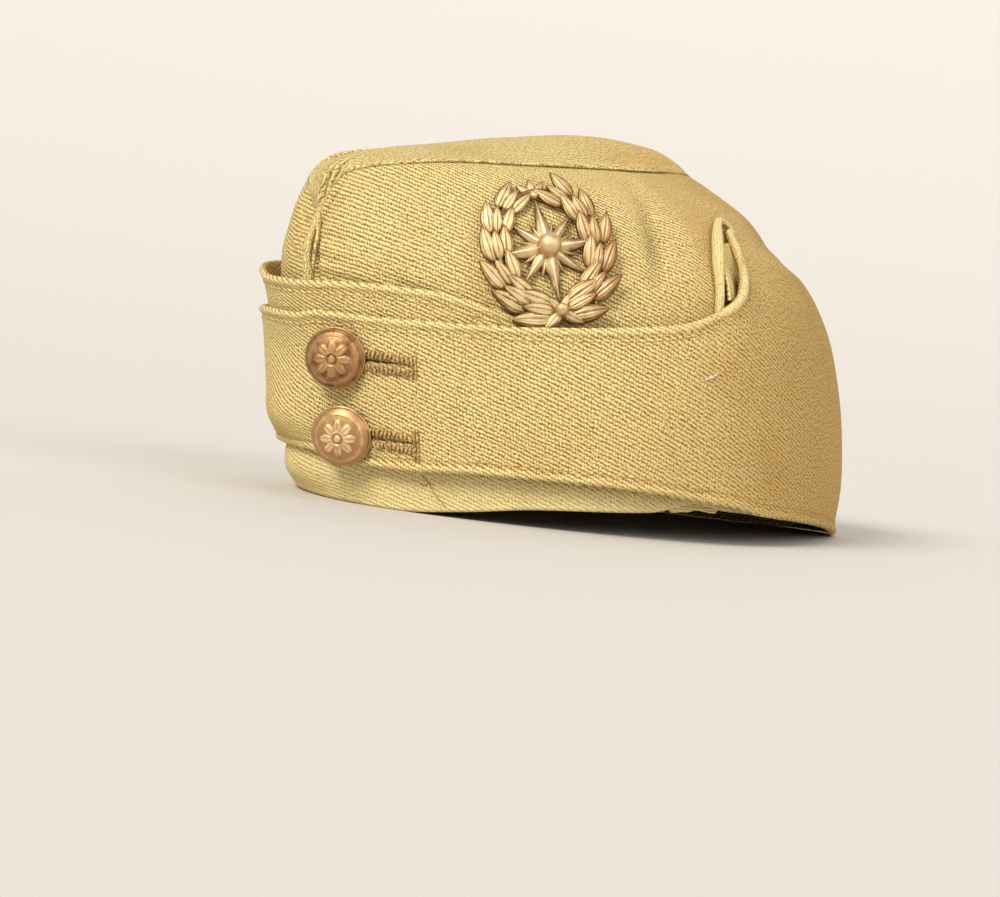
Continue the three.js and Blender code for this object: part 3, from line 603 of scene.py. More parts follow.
def mesh_object(name, points, faces, uv=None, tone=None):
    """Object from points in millimetres, with its weave map and its tone of light and dark."""
    mesh = bpy.data.meshes.new(name)
    mesh.from_pydata((np.asarray(points, float) * MM).tolist(), [], faces)
    mesh.validate()
    if uv is not None:
        layer = mesh.uv_layers.new(name="weave")
        corner = np.empty(len(mesh.loops), np.int32)
        mesh.loops.foreach_get("vertex_index", corner)
        layer.data.foreach_set("uv", np.asarray(uv, np.float32)[corner].ravel())
    if tone is not None:
        carry(mesh, "tone", np.ravel(tone))
    mesh.shade_smooth()
    return new_object(name, mesh)


def face_out(points, faces):
    """Faces turned outwards, judged by the volume that they enclose."""
    four = np.array([face for face in faces if len(face) == 4])
    a, b, c, d = (points[four[:, k]] for k in range(4))
    volume = np.einsum("ij,ij->", a, np.cross(b, c)) + np.einsum("ij,ij->", a, np.cross(c, d))
    return faces if volume > 0 else [face[::-1] for face in faces]


def wall_object(name, outer, inner, outer_uv, inner_uv, tone, ring=False):
    """Closed wall between an outer and an inner grid of points with as many columns.

    A ring runs right round and meets its own start.
    """
    columns, rows = outer.shape[:2]
    inner_rows = inner.shape[1]
    out = np.arange(columns * rows).reshape(columns, rows)
    inn = columns * rows + np.arange(columns * inner_rows).reshape(columns, inner_rows)
    if ring:
        out, inn = (np.concatenate([index, index[:1]]) for index in (out, inn))
    low = np.stack([out[:-1, 0], inn[:-1, 0], inn[1:, 0], out[1:, 0]], axis=-1)
    high = np.stack([out[:-1, -1], out[1:, -1], inn[1:, -1], inn[:-1, -1]], axis=-1)
    faces = np.concatenate([quads(out), quads(inn)[:, ::-1], low, high]).tolist()
    if not ring:
        faces.append([*out[0].tolist(), *inn[0, ::-1].tolist()])
        faces.append([*inn[-1].tolist(), *out[-1, ::-1].tolist()])
    points = np.concatenate([outer.reshape(-1, 3), inner.reshape(-1, 3)])
    uv = np.concatenate([outer_uv.reshape(-1, 2), inner_uv.reshape(-1, 2)])
    # Inner faces get a tone of -0.2: painted shade on the inner side of the cloth.
    tones = np.concatenate([tone.ravel(), np.full(columns * inner_rows, -0.2)])
    return mesh_object(name, points, face_out(points, faces), uv, tones)


def tube_object(name, path, radii, sides, up, tone=0.0):
    """Closed tube along a path, with one radius for each point or for each place round it."""
    path, radii = np.asarray(path, float), np.asarray(radii, float)
    radii = np.broadcast_to(radii[:, None] if radii.ndim == 1 else radii, (len(path), sides))
    along = unit(np.gradient(path, axis=0))
    across = unit(np.cross(along, up))[:, None]
    above = np.cross(across, along[:, None])
    turn = turns(sides)
    ring = np.cos(turn)[None, :, None] * across + np.sin(turn)[None, :, None] * above
    body = path[:, None] + ring * radii[..., None]
    ends = 0.7 * radii.mean(axis=1)
    tips = np.stack([path[0] - along[0] * ends[0], path[-1] + along[-1] * ends[-1]])
    count = len(path)
    index = ring_index(count, sides)
    faces = quads(index).tolist()
    for k in range(sides):
        faces.append([count * sides, int(index[0, k]), int(index[0, k + 1])])
        faces.append([count * sides + 1, int(index[-1, k + 1]), int(index[-1, k])])
    points = np.concatenate([body.reshape(-1, 3), tips])
    uv = np.broadcast_arrays(lengths(path)[:, None], turn[None, :] * radii)
    uv = np.stack(uv, axis=-1).reshape(-1, 2)
    uv = np.concatenate([uv, uv[:1], uv[-1:]])
    tones = np.broadcast_to(tone, (count, sides)).ravel()
    tones = np.concatenate([tones, tones[:1], tones[-1:]])
    return mesh_object(name, points, face_out(points, faces), uv, tones)


def resample(path, step):
    """Points along a polyline at an even distance."""
    length = lengths(path)
    count = max(2, int(round(length[-1] / step)) + 1)
    places = np.linspace(0, length[-1], count)
    return np.stack([np.interp(places, length, column) for column in path.T], axis=-1)


def smooth_path(points, count):
    """Smooth line through a few points, drawn with a Catmull-Rom curve."""
    points = np.asarray(points, float)
    ends = np.concatenate([[2 * points[0] - points[1]], points, [2 * points[-1] - points[-2]]])
    places = np.linspace(0, len(points) - 1, count)
    i = np.minimum(places.astype(int), len(points) - 2)
    t = (places - i)[:, None]
    a, b, c, d = ends[i], ends[i + 1], ends[i + 2], ends[i + 3]
    curve = 2 * b + (c - a) * t + (2 * a - 5 * b + 4 * c - d) * t**2 + (3 * b - a - 3 * c + d) * t**3
    return curve / 2


# Crown

SEAM_FADE = 8.0  # the folds fade out over this distance from a top seam
SEAM_TUCK = 1.4  # width over which the cloth is tucked into a top seam
EDGE_CROWDING = 0.45  # how much closer the columns are at the front seam and the back crease
TOPSTITCH_BELOW = 4.4  # distance of the left side's topstitching below the seam
CROWN_GAP = 0.1  # the sides of the crown keep this far from the middle plane
CROWN_CLEARANCE = 0.03  # and this far above the ground


def crown_lift(at, z, side):
    """Outer face of a side of the crown, measured from the smooth crown."""
    below_seam = SEAM[side](np.abs(at)) - z
    tuck = -0.5 * falling(below_seam, SEAM_TUCK) * seam_strength(np.abs(at))
    topstitch = -0.22 * bump(below_seam, TOPSTITCH_BELOW, 0.6) if side == LEFT else 0
    soft = ease(below_seam / SEAM_FADE) * (fold_rise(at, z) + ripple(*CLOTH(at, z)))
    lift = soft + tuck + topstitch - ease(below_seam / 2.5) * crease_depth(at, z)
    return lift - 0.8 * falling(z - rim_height(at), 0.8)


def seam_strength(station):
    """The top seams are pressed flat towards the rear and soft round the nose."""
    return (0.3 + 0.7 * ease((station - 0.08) / 0.2)) * (1 - 0.85 * ease((station - 1.1) / 0.35))


def vent_hollow(at, z):
    """Hollow of the crown behind the mouth of a vent, sunk in and darkened with painted shade."""
    across = bump(np.abs(at), VENT_HOLLOW["at"], VENT_HOLLOW["reach"])
    return across * bump(z, VENT_HOLLOW["z"], VENT_HOLLOW["tall"])


def crown_side(name, side, columns, rows):
    """A side of the crown, with its rows closer together at the top."""
    station = stations(columns, EDGE_CROWDING)
    t = np.linspace(0, 1, rows + 1)
    t = 0.7 * t + 0.3 * np.sin(np.pi / 2 * t)
    at = side * station[:, None]
    low, high = rim_height(side * station)[:, None], SEAM[side](station)[:, None]
    z, inner_z = (low + (high - low) * share[None, :] for share in (t, np.linspace(0, 1, 15)))
    lift = crown_lift(at, z, side) - 1.3 * vent_hollow(at, z)
    inner_lift = ease((high - inner_z) / SEAM_FADE) * fold_rise(at, inner_z) - CROWN_CLOTH
    outer = keep_side(on_crown(at, z, lift), side, CROWN_GAP)
    inner = keep_side(on_crown(at, inner_z, inner_lift), side, CROWN_GAP)
    outer[..., 2] = np.maximum(outer[..., 2], CROWN_CLEARANCE)
    inner[:, 0, 2] = outer[:, 0, 2]
    # Tone: painted shade in the vent's hollow, in the creases and along the top seam; paler just above the
    # rim, partly wear and partly painted highlight; painted light on the band below the flaps, which the
    # flaps shade.
    tone = -0.9 * vent_hollow(at, z) - 0.3 * crease_depth(at, z) - 0.15 * bump(high - z, 0, 0.8)
    tone = tone + 0.25 * bump(z - low, 0.8, 0.9) + 0.55 * ease((16 - z) / 4)
    uv, inner_uv = (weave_uv(at, height, CROWN_FRONT_FALL) for height in (z, inner_z))
    return wall_object(name, outer, inner, uv, inner_uv, tone)


def top_seam(station, side):
    """Points of the seam between a side and the top panel."""
    return smooth_crown(side * station, SEAM[side](station))


def spine_points(station):
    """Middle line of the top panel."""
    y = (top_seam(station, LEFT)[..., 1] + top_seam(station, RIGHT)[..., 1]) / 2
    return np.stack([0 * y, y, SPINE(y - WIDEST_Y)], axis=-1)


def top_seam_normal(station, side):
    """Outward directions of a top seam, halfway between the panel and the side."""
    step = 0.01
    inside = np.clip(station, step, 2 - step)
    along = top_seam(inside + step, side) - top_seam(inside - step, side)
    across = spine_points(inside) - top_seam(inside, side)
    panel = unit(np.cross(along, across) * side)
    return flat_on_seams(panel + crown_normal(side * inside, SEAM[side](inside)), station, step)


def panel_line(station, share):
    """One line of the top panel, with its outward directions and its seam's distance.

    The share runs from -1 at the left seam, through 0 in the middle, to 1 at the right seam.
    """
    side, reach = LEFT if share < 0 else RIGHT, abs(share)
    seam, middle = top_seam(station, side), spine_points(station)
    point = seam + (middle - seam) * (1 - reach)
    point[:, 2] = seam[:, 2] + (middle[:, 2] - seam[:, 2]) * (1 - reach * reach)
    normal = top_seam_normal(station, side)
    normal[:, 0] *= reach
    return point, unit(normal), np.linalg.norm(seam - middle, axis=-1)


def crown_top(name, columns, rows):
    """Boat-shaped top panel; its edges are tucked into the two top seams."""
    station = stations(columns, EDGE_CROWDING)[2:-3]
    along = lengths(spine_points(station))
    across = np.linspace(-1, 1, rows + 1)
    outer, inner, uv, inner_uv, tone = [], [], [], [], []
    for share in np.sign(across) * np.abs(across) ** 0.8:
        point, normal, width = panel_line(station, share)
        u, edge = width * share, width * (1 - abs(share))
        wrinkle = 0.5 * ripple(u + 40, point[:, 1]) * ease(edge / 5)
        tuck = 0.45 * bump(edge, 2.0, 1.3) - 0.7 * falling(edge, SEAM_TUCK)
        cut = sum(crease_cut(crease, along, u) for crease in TOP_CREASES)
        depth = tuck * seam_strength(station) + wrinkle - cut * ease(edge / 1.5)
        outer.append(point + normal * depth[:, None])
        uv.append(np.stack([along + 0.35 * u, u + 0.12 * along], axis=-1))
        # Painted shade along the seams and in the creases, and a painted highlight on the ridge beside each
        # seam.
        shade = 0.2 * bump(edge, 0, 0.8) * seam_strength(station) + 0.25 * cut
        tone.append(0.3 * bump(edge, 1.8, 1.2) - shade)
    for share in np.linspace(-1, 1, 13):
        point, normal, _ = panel_line(station, share)
        inner.append(point - normal * (CROWN_CLOTH + 0.2))
        inner_uv.append(point[:, :2])
    return wall_object(name, *(np.stack(part, axis=1) for part in (outer, inner, uv, inner_uv, tone)))


# Flaps

FLAP_CLEARANCE = 0.06  # the flaps keep this far above the ground and from the back crease
HEM_RADIUS = 1.2  # rounding of the outer edge of a hem
INNER_HEM_RADIUS = 0.55


def edge_distance(u, v, edge):
    """Distance of places on the cloth from a line of places, in millimetres."""
    flat = np.stack([u.ravel(), v.ravel()], axis=-1)
    found = np.empty(len(flat))
    chunk = 4096
    for start in range(0, len(flat), chunk):
        part = flat[start : start + chunk, None] - edge[None]
        found[start : start + chunk] = np.sqrt((part**2).sum(-1).min(1))
    return found.reshape(u.shape)


def rounding(edge, radius):
    """How far a face falls back at distances from a rounded edge."""
    return radius - np.sqrt(np.maximum(radius**2 - np.clip(radius - edge, 0, radius) ** 2, 0))


class Flap:
    """A turned-up flap, with the distance of any place from its free edges and its root."""

    def __init__(self, rows, side):
        self.side = side
        self.start = rows[0]["at"]
        columns = ("lower", "upper", "lift", "flare")
        self.lower, self.upper, self.lift, self.flare = (Track(rows, "at", name) for name in columns)
        free = np.linspace(self.start, VENT_TOP_AT, 900)
        self.hem = np.stack(CLOTH(free, self.upper(free)), axis=-1)

    def margins(self, at, z):
        """Distances from the lower hem, the upper hem, the free end and the root."""
        u, v = CLOTH(at, z)
        first, _ = CLOTH(self.start, z)
        root = np.where(at > VENT_TOP_AT, self.upper(at) - z, 99.0)
        root = root + 60 * np.clip(VENT_TOP_AT + 0.05 - at, 0, 1)
        return z - self.lower(at), edge_distance(u, v, self.hem), np.abs(u - first), root

    def flared(self, at, z):
        """Lift of the flap without its hems, folds and dents."""
        t = np.clip((z - self.lower(at)) / (self.upper(at) - self.lower(at)), 0, 1)
        return self.lift(at) + self.flare(at) * t**FLARE_POWER

    def faces(self, at, z):
        """Lifts of the outer and the inner face, and the tone of the outer one."""
        lower, upper, end, root = self.margins(at, z)
        edge = np.minimum(np.minimum(lower, upper), end)
        grown = ease((at - VENT_TOP_AT) / 0.05) * (1 - ease(root / ROOT_FADE))
        u, v = CLOTH(at, z)
        folds = fold_rise(self.side * at, z)
        dent = flap_fold(self.side * at, z) * self.lift(at) / LEFT_FLAP[0]["lift"]
        base = self.flared(at, z) + dent
        grown_lift = 0.12 + folds + ripple(self.side * u, v)
        scallop = 0.1 * np.sin(2 * np.pi * (u + 0.6 * v) / 1.6) * bump(edge, 0.9, 0.9)
        wide = 1 + 0.9 * ease((at - 1.03) / 0.05)
        hem = 0.5 * wide * bump(edge, 1.3, wide) - 0.28 * bump(edge, 2.9, 0.45) + scallop
        hem = hem - rounding(edge, HEM_RADIUS)
        slack = 0.5 * ripple(u + 31 * self.side, v + 12) * ease((edge - 3) / 6)
        outer = base + (1 - grown) * hem + slack
        outer = outer * (1 - grown) + grown_lift * grown
        thick = FLAP_CLOTH * (1 - grown) + 0.06 * grown
        inner = base * (1 - grown) + grown_lift * grown - thick + rounding(edge, INNER_HEM_RADIUS)
        rest = (folds + 0.15) * (1 - grown) + inner * grown
        inner = np.minimum(np.maximum(inner, rest), outer - 0.3 * (1 - grown) - 0.04)
        # Tone: the rolled hem is paler, partly wear and partly painted highlight; painted shade in the
        # groove of the topstitching; painted light on the lips by the vent.
        lip = 0.9 * ease((at - 1.02) / 0.04) * ease((3.2 - upper) / 1.4)
        tone = 0.4 * bump(edge, 1.1, 1.1) - 0.3 * bump(edge, 2.9, 0.5) + lip
        return outer, inner, tone * (1 - grown)


FLAPS = {LEFT: Flap(LEFT_FLAP, LEFT), RIGHT: Flap(RIGHT_FLAP, RIGHT)}
FULL_HEMS = 24.0  # where a flap is less tall than this, the rows of its hems are closer
# Rows of points near a hem: distances from its edge
HEM_ROWS = np.array([0, 0.08, 0.25, 0.5, 0.8, 1.2, 1.7, 2.3, 2.9, 3.4, 3.8, 4.2, 4.7])


def buttonhole_relief(at, z):
    """Slit of each buttonhole with its raised stitched edges: lift, and tone with painted shade in the slit
    and under the stitches beside it and a painted shadow round the button.
    """
    lift, tone = 0.0, 0.0
    u, v = CLOTH(at, z)
    for place in BUTTONS:
        u0, v0 = CLOTH(place["at"], place["z"])
        along, off = u - u0, v - v0 + SLIT_SLOPE * (u - u0)
        inside = ease((along + 3) / 2) * ease((BUTTONHOLE_LENGTH - along) / 1.5)
        lift = lift + inside * (0.35 * bump(np.abs(off), 2.0, 1.2) - 0.9 * bump(off, 0, 0.35))
        lift = lift - 0.8 * bump(np.hypot(along, off), 0, 5.0)
        # Painted shade in the slit and under the stitches beside it.
        tone = tone + inside * (-0.3 * bump(np.abs(off), 2.0, 1.5) - 0.8 * bump(off, 0, 0.4))
        # Painted shadow of the button, a dark ring round it.
        tone = tone - 0.2 * bump(np.hypot(along - 1.5, off + 1), 8.5, 3)
    return lift, tone


def flap_object(name, side, columns, rows):
    """A flap with fine rows along its hems and a coarser inner face."""
    flap = FLAPS[side]
    at = flap.start + (2 - flap.start) * stations(columns, 0.25) / 2
    low, high = flap.lower(at)[:, None], flap.upper(at)[:, None]
    offsets = HEM_ROWS[None, :] * np.minimum(1, (high - low) / FULL_HEMS)
    middle = np.linspace(0, 1, rows + 2)[None, 1:-1]
    last = offsets[:, -1:]
    rows_between = low + last + (high - low - 2 * last) * middle
    z = np.concatenate([low + offsets, rows_between, high - offsets[:, ::-1]], axis=1)
    grid = at[:, None] + 0 * z
    outer_lift, inner_lift, tone = flap.faces(grid, z)
    if side == LEFT:
        lift, shade = buttonhole_relief(grid, z)
        outer_lift, tone = outer_lift + lift, tone + shade
    keep = [0, 3, 6, 9, 12, *range(16, z.shape[1] - 16, 8), -13, -10, -7, -4, -1]
    outer = on_crown(side * grid, z, outer_lift)
    inner = on_crown(side * grid, z, inner_lift)[:, keep]
    for points, rear in ((outer, grid > 1), (inner, grid[:, keep] > 1)):
        points[rear] = keep_side(points[rear], side, FLAP_CLEARANCE)
        points[..., 2] = np.maximum(points[..., 2], FLAP_CLEARANCE)
    uv = weave_uv(side * grid, z)
    round_hem = np.where(np.arange(len(keep)) < len(keep) // 2, -1.3, 1.3)
    inner_uv = uv[:, keep] + round_hem[None, :, None] * np.array([-1.0, 1.0])
    return wall_object(name, outer, inner, uv, inner_uv, tone)


def flap_face(side, at, z):
    """Points and outward directions on the outer face of a flap."""
    at, z = paired(at, z)
    lift, _, _ = FLAPS[side].faces(at, z)
    return on_crown(side * at, z, lift), crown_normal(side * at, z)


# Lining


def lining_band(name):
    """Band of lining inside the rim, with a ragged edge where it peeps out."""
    half = stations(160, 0.2)
    ring = np.concatenate([half, -half[1:-1][::-1]])
    raised = np.where(ring > 0, LINING_RAISE(np.abs(ring)), LINING_EDGE[0]["raise"])
    frayed = 0.35 * np.sin(ring * 190) + 0.2 * np.sin(ring * 71)
    ragged = np.where((ring > 1.0) & (ring < 1.17), frayed, 0)
    low = (rim_height(ring) + raised + ragged + 1.1 * bump(ring, PEEP_AT, 0.08))[:, None]
    z = low + (LINING_TOP - low) * np.array([0, 0.02, 0.05, 0.12, 0.25, 0.45, 0.7, 1])[None, :]
    at = ring[:, None] + 0 * z
    pushed = np.where((at > 1.02) & (at < 1.15), 1.5 * bump(z, low, 2.2), 0)
    lift = -CROWN_CLOTH - LINING_GAP + pushed + np.minimum(fold_rise(at, z), 0)
    outer, inner = on_crown(at, z, lift), on_crown(at, z, lift - LINING_CLOTH)
    uv = np.stack(CLOTH(at, z), axis=-1)
    # Painted light near the lining's lower edge, where it shows below the rim.
    return wall_object(name, outer, inner, uv, uv, 0.7 * bump(z, low, 5.0), ring=True)


def vent_lining(name, side):
    """Lining that shows in the mouth of a vent, with a fold along its front."""
    low, high = Track(VENT_LINING, "at", "low"), Track(VENT_LINING, "at", "high")
    station = np.linspace(VENT_LINING[0]["at"], VENT_LINING[-1]["at"], 22)
    z = low(station)[:, None] + (high(station) - low(station))[:, None] * np.linspace(0, 1, 30)[None, :]
    at = station[:, None] + 0 * z
    fold = bump(at, 1.08, 0.006)
    lift = 0.5 * fold - 0.9 * ease((at - 1.095) / 0.02)
    outer, inner = on_crown(side * at, z, 2.4 + lift), on_crown(side * at, z, 1.2 + lift)
    u, v = CLOTH(at, z)
    uv = 0.5 * np.stack([u - v, v + 0.8 * u], axis=-1)
    # Tone: painted light over the whole lining, painted shade in the hollow behind it and a painted
    # highlight on its fold.
    tone = 0.6 - 1.5 * bump(at, 1.122, 0.012) * bump(z, 79, 4.5) + 0.3 * fold
    return wall_object(name, outer, inner, uv, uv, tone)


# Welts and rolls


def front_welt(name):
    """Corded ridge on the front seam, with an open slit between its two edges."""
    z = np.linspace(65, 88.5, 90)
    radii = np.interp(z, [65, 70, 77, 82, 86, 88.5], [1.7, 1.8, 2.25, 1.7, 1.1, 0.4])
    at = np.interp(z, [65, 74, 79, 84, 88.5], [0.014, 0.019, 0.019, 0.009, 0.0])
    path = on_crown(at, z, fold_rise(0.0, z) + radii * 0.7)
    sides = 48
    turn, higher = turns(sides)[None, :], z[:, None] - 76
    open_part = (ease((z - 69) / 4) * ease((84 - z) / 4))[:, None]
    slit = bump(turn, 1.8 + 0.04 * higher, 0.3) * open_part
    strand = bump(turn, 2.5 + 0.03 * higher, 0.35) * (0.4 + 0.6 * open_part)
    radii = radii[:, None] * (1 - 0.42 * slit + 0.06 * strand + 0.03 * np.sin(z * 2.1)[:, None])
    # Tone: a little painted light on the welt and painted shade in its slit.
    return tube_object(name, path, radii, sides, np.array([1.0, 0, 0]), 0.2 - 0.9 * slit)


def vent_roll(name, side):
    """Rolled lip at the front of a vent."""
    line = smooth_path([[row["at"], row["z"], row["radius"]] for row in VENT_ROLL], 60)
    at, z, radii = line[:, 0], line[:, 1], line[:, 2]
    path = on_crown(side * at, z, radii + 0.2)
    # The lip carries painted light all over, a tone of 0.75.
    return tube_object(name, path, radii, 18, crown_normal(side * at, z), 0.75)


# Cords of the top seams, with the property that holds the radius of each
ROPES = table(
    "name side radius front pitch raise",
    ("welt_top_left", LEFT, "left_cord", 0.3, 3.4, 0.15),
    ("welt_top_right", RIGHT, "right_cord", 0.06, 5.2, 0.9),
)


def seam_cord(rope, radius):
    """Twisted cord on a top seam, thinner near the front and towards the rear."""
    station = np.linspace(0.035, 1.8, 240)
    share = rope["front"] + (1 - rope["front"]) * ease((station - 0.28) / 0.25)
    share = share * (1 - 0.6 * ease((station - 1.1) / 0.35))
    lift = (rope["raise"] * share)[:, None]
    path = top_seam(station, rope["side"]) + top_seam_normal(station, rope["side"]) * lift
    rows = resample(np.concatenate([path, share[:, None]], axis=1), 1.2)
    name = rope["name"] + "_rope"
    mesh = bpy.data.meshes.new(name)
    edges = [(i, i + 1) for i in range(len(rows) - 1)]
    mesh.from_pydata((rows[:, :3] * MM).tolist(), edges, [])
    carry(mesh, "size", rows[:, 3])
    sizes = {"Radius": radius, "Pitch": rope["pitch"] * MM, "Step": 0.45 * MM}
    return run_tree(new_object(name, mesh), shared("Twisted rope", rope_tree), "rope", sizes)


# Node trees


def srgb(text):
    """Colour as Blender wants it, from the usual six-digit notation."""
    values = [int(text[i : i + 2], 16) / 255 for i in (0, 2, 4)]
    return tuple(v / 12.92 if v <= 0.04045 else ((v + 0.055) / 1.055) ** 2.4 for v in values)


class Signal:
    """What a node gives out. A sum on it makes the node that works it out."""

    def __init__(self, socket):
        self.socket, self.tree = socket, socket.id_data

    def maths(self, operation, *terms):
        inputs = dict(enumerate((self, *terms)))
        return Signal(node(self.tree, "ShaderNodeMath", inputs, operation=operation).outputs[0])

    def __add__(self, term):
        return self.maths("ADD", term)

    def __sub__(self, term):
        return self.maths("SUBTRACT", term)

    def __mul__(self, term):
        return self.maths("MULTIPLY", term)

    def __truediv__(self, term):
        return self.maths("DIVIDE", term)

    def __pow__(self, term):
        return self.maths("POWER", term)


def plug(socket, value):
    """Links a socket to a signal, or gives it a value."""
    if isinstance(value, Signal):
        value.tree.links.new(value.socket, socket)
    elif socket.type == "RGBA" and len(value) == 3:
        socket.default_value = (*value, 1)
    else:
        socket.default_value = value


def fill(made, inputs):
    """Fills inputs of a node by their names or numbers."""
    for key, value in inputs.items():
        plug(made.inputs[key], value)
    return made


def node(tree, kind, inputs=None, **settings):
    """New node with its settings made and its inputs filled."""
    made = tree.nodes.new(kind)
    for key, value in settings.items():
        setattr(made, key, value)
    return fill(made, inputs or {})


def output(tree, kind, label, inputs=None, **settings):
    """Signal from one output of a new node."""
    return Signal(node(tree, kind, inputs, **settings).outputs[label])


def node_group(kind, name, inputs, result):
    """New group with named inputs and one output: its input signals and its end node."""
    tree = bpy.data.node_groups.new(name, kind)
    for label, (socket_kind, default) in inputs.items():
        socket = tree.interface.new_socket(label, in_out="INPUT", socket_type=f"NodeSocket{socket_kind}")
        if default is not None:
            socket.default_value = default
    socket_kind = "Geometry" if result == "Geometry" else "Float"
    tree.interface.new_socket(result, in_out="OUTPUT", socket_type=f"NodeSocket{socket_kind}")
    start = node(tree, "NodeGroupInput")
    return tree, {label: Signal(start.outputs[label]) for label in inputs}, node(tree, "NodeGroupOutput")


def shared(name, make):
    """The node group of a name, made when it is first asked for."""
    return bpy.data.node_groups.get(name) or make(name)


# Materials


def mixed(factor, first, second, blend="MIX", kind="RGBA"):
    """First where the factor is 0, second laid over it where the factor is 1."""
    inputs = {"Factor": factor, "A": first, "B": second}
    return output(factor.tree, "ShaderNodeMix", "Result", inputs, data_type=kind, blend_type=blend)


def between(value, low, high):
    """Smooth step of a signal from 0 at low to 1 at high."""
    inputs = {"Value": value, "From Min": low, "From Max": high}
    return output(value.tree, "ShaderNodeMapRange", "Result", inputs, interpolation_type="SMOOTHSTEP")


def noise(place, scale, detail=2.0, roughness=0.5):
    inputs = {"Vector": place, "Scale": scale, "Detail": detail, "Roughness": roughness}
    return output(place.tree, "ShaderNodeTexNoise", "Fac", inputs)


def axis(place, letter):
    """One coordinate of a place."""
    return output(place.tree, "ShaderNodeSeparateXYZ", letter, {0: place})


def object_place(tree):
    """Place on the piece in metres."""
    return output(tree, "ShaderNodeTexCoord", "Object")


def tone_of(tree):
    """The tone that the mesh carries: painted shade and light, with some wear, on the cloth; patina and
    rubbing on the metal.
    """
    return output(tree, "ShaderNodeAttribute", "Fac", attribute_name="tone")


def bumped(height, distance, strength=1.0):
    """Normal of a surface with fine relief, its height in metres."""
    inputs = {"Strength": strength, "Distance": distance, "Height": height}
    return output(height.tree, "ShaderNodeBump", "Normal", inputs)


def weave_group(name):
    """Ribbed twill: rows of yarn floats, each row set off from the one before."""
    inputs = {
        "Vector": ("Vector", None),
        "Rib Pitch": ("Float", 1.3),
        "Yarn Pitch": ("Float", 1.1),
        "Wander": ("Float", 0.3),
    }
    tree, start, end = node_group("ShaderNodeTree", name, inputs, "Height")
    place = start["Vector"]
    slow, quick = noise(place, 0.11, 3.0) - 0.5, noise(place, 0.55) - 0.5
    shift = (slow * 3.0 + quick * 2.0) * start["Wander"]
    rib_turn = (axis(place, "Y") + shift) / start["Rib Pitch"] * (2 * math.pi)
    yarn_turn = (axis(place, "X") + shift * 1.7) / start["Yarn Pitch"] * (2 * math.pi) + rib_turn * 0.5
    rib, yarn = (turn.maths("COSINE") * 0.5 + 0.5 for turn in (rib_turn, yarn_turn))
    uneven = noise(place, 0.85) * 1.3 + 0.35
    floats = yarn**0.7 * uneven * 0.72 + 0.28
    fibre = noise(place, 1.9, 3.0, 0.65) - 0.5
    plug(end.inputs["Height"], rib**0.85 * floats + fibre)
    return tree


def principled(name):
    """New material with its shader."""
    material = bpy.data.materials.new(name)
    material.use_nodes = True
    return material, material.node_tree.nodes["Principled BSDF"]


def cloth_material(name, look, rib_pitch, yarn_pitch, relief, wander=0.4, fuzz=(0.16, 0.46)):
    """Woven cloth: yarn colours from the weave, with stains, lint, painted shade towards the rear and the
    tone's painted shade and light laid over them.

    Fuzz is how much loose fibre hides the weave, at the front and at the rear.
    """
    material, shader = principled(name)
    tree = material.node_tree
    uv = output(tree, "ShaderNodeUVMap", "UV", uv_map="weave")
    inputs = {"Vector": uv, "Rib Pitch": rib_pitch, "Yarn Pitch": yarn_pitch, "Wander": wander}
    weave = output(tree, "ShaderNodeGroup", "Height", inputs, node_tree=shared("Twill weave", weave_group))
    patches = noise(uv, 0.03, 3.0)
    # Painted shade: the cloth is made darker and browner towards the rear.
    rear = between((patches - 0.5) * 0.02 + axis(object_place(tree), "Y"), -0.06, 0.06)
    lint = noise(uv, 1.3, 3.0, 0.75) * 9.0 - 3.82
    height = mixed(rear * (fuzz[1] - fuzz[0]) + fuzz[0], weave, lint, kind="FLOAT")
    # The ramp paints shade and light on the weave: darkest in the gaps between the yarns, palest on raised
    # yarn, partly wear and partly painted highlight.
    ramp = node(tree, "ShaderNodeValToRGB", {"Fac": height})
    stops = ramp.color_ramp.elements
    stops[0].position, stops[0].color = 0.1, (*look["gap"], 1)
    stops[1].position, stops[1].color = 0.8, (*look["high"], 1)
    stops.new(0.4).color = (*look["yarn"], 1)
    tone = tone_of(tree)
    # The last two layers paint shade where the tone is below 0 and paint light where it is above 0.
    layers = [
        (between(patches, 0.45, 0.85), look["stain"], "MULTIPLY"),
        (rear, look["rear"], "MULTIPLY"),
        (noise(uv, 0.3, 3.0, 0.6) * 0.16, look["fade"], "MIX"),
        (between(tone * -1.0, 0.0, 1.0), look["shade"], "MULTIPLY"),
        (between(tone, 0.0, 1.0) * 0.6, look["high"], "MIX"),
    ]
    colour = Signal(ramp.outputs["Color"])
    for factor, tint, blend in layers:
        colour = mixed(factor, colour, tint, blend)
    values = {
        "Base Color": colour,
        "Roughness": 0.92,
        "Specular IOR Level": 0.2,
        "Sheen Weight": 0.08,
        "Sheen Roughness": 0.5,
        "Sheen Tint": look["high"],
        "Normal": bumped(height, relief * MM),
    }
    fill(shader, values)
    return material


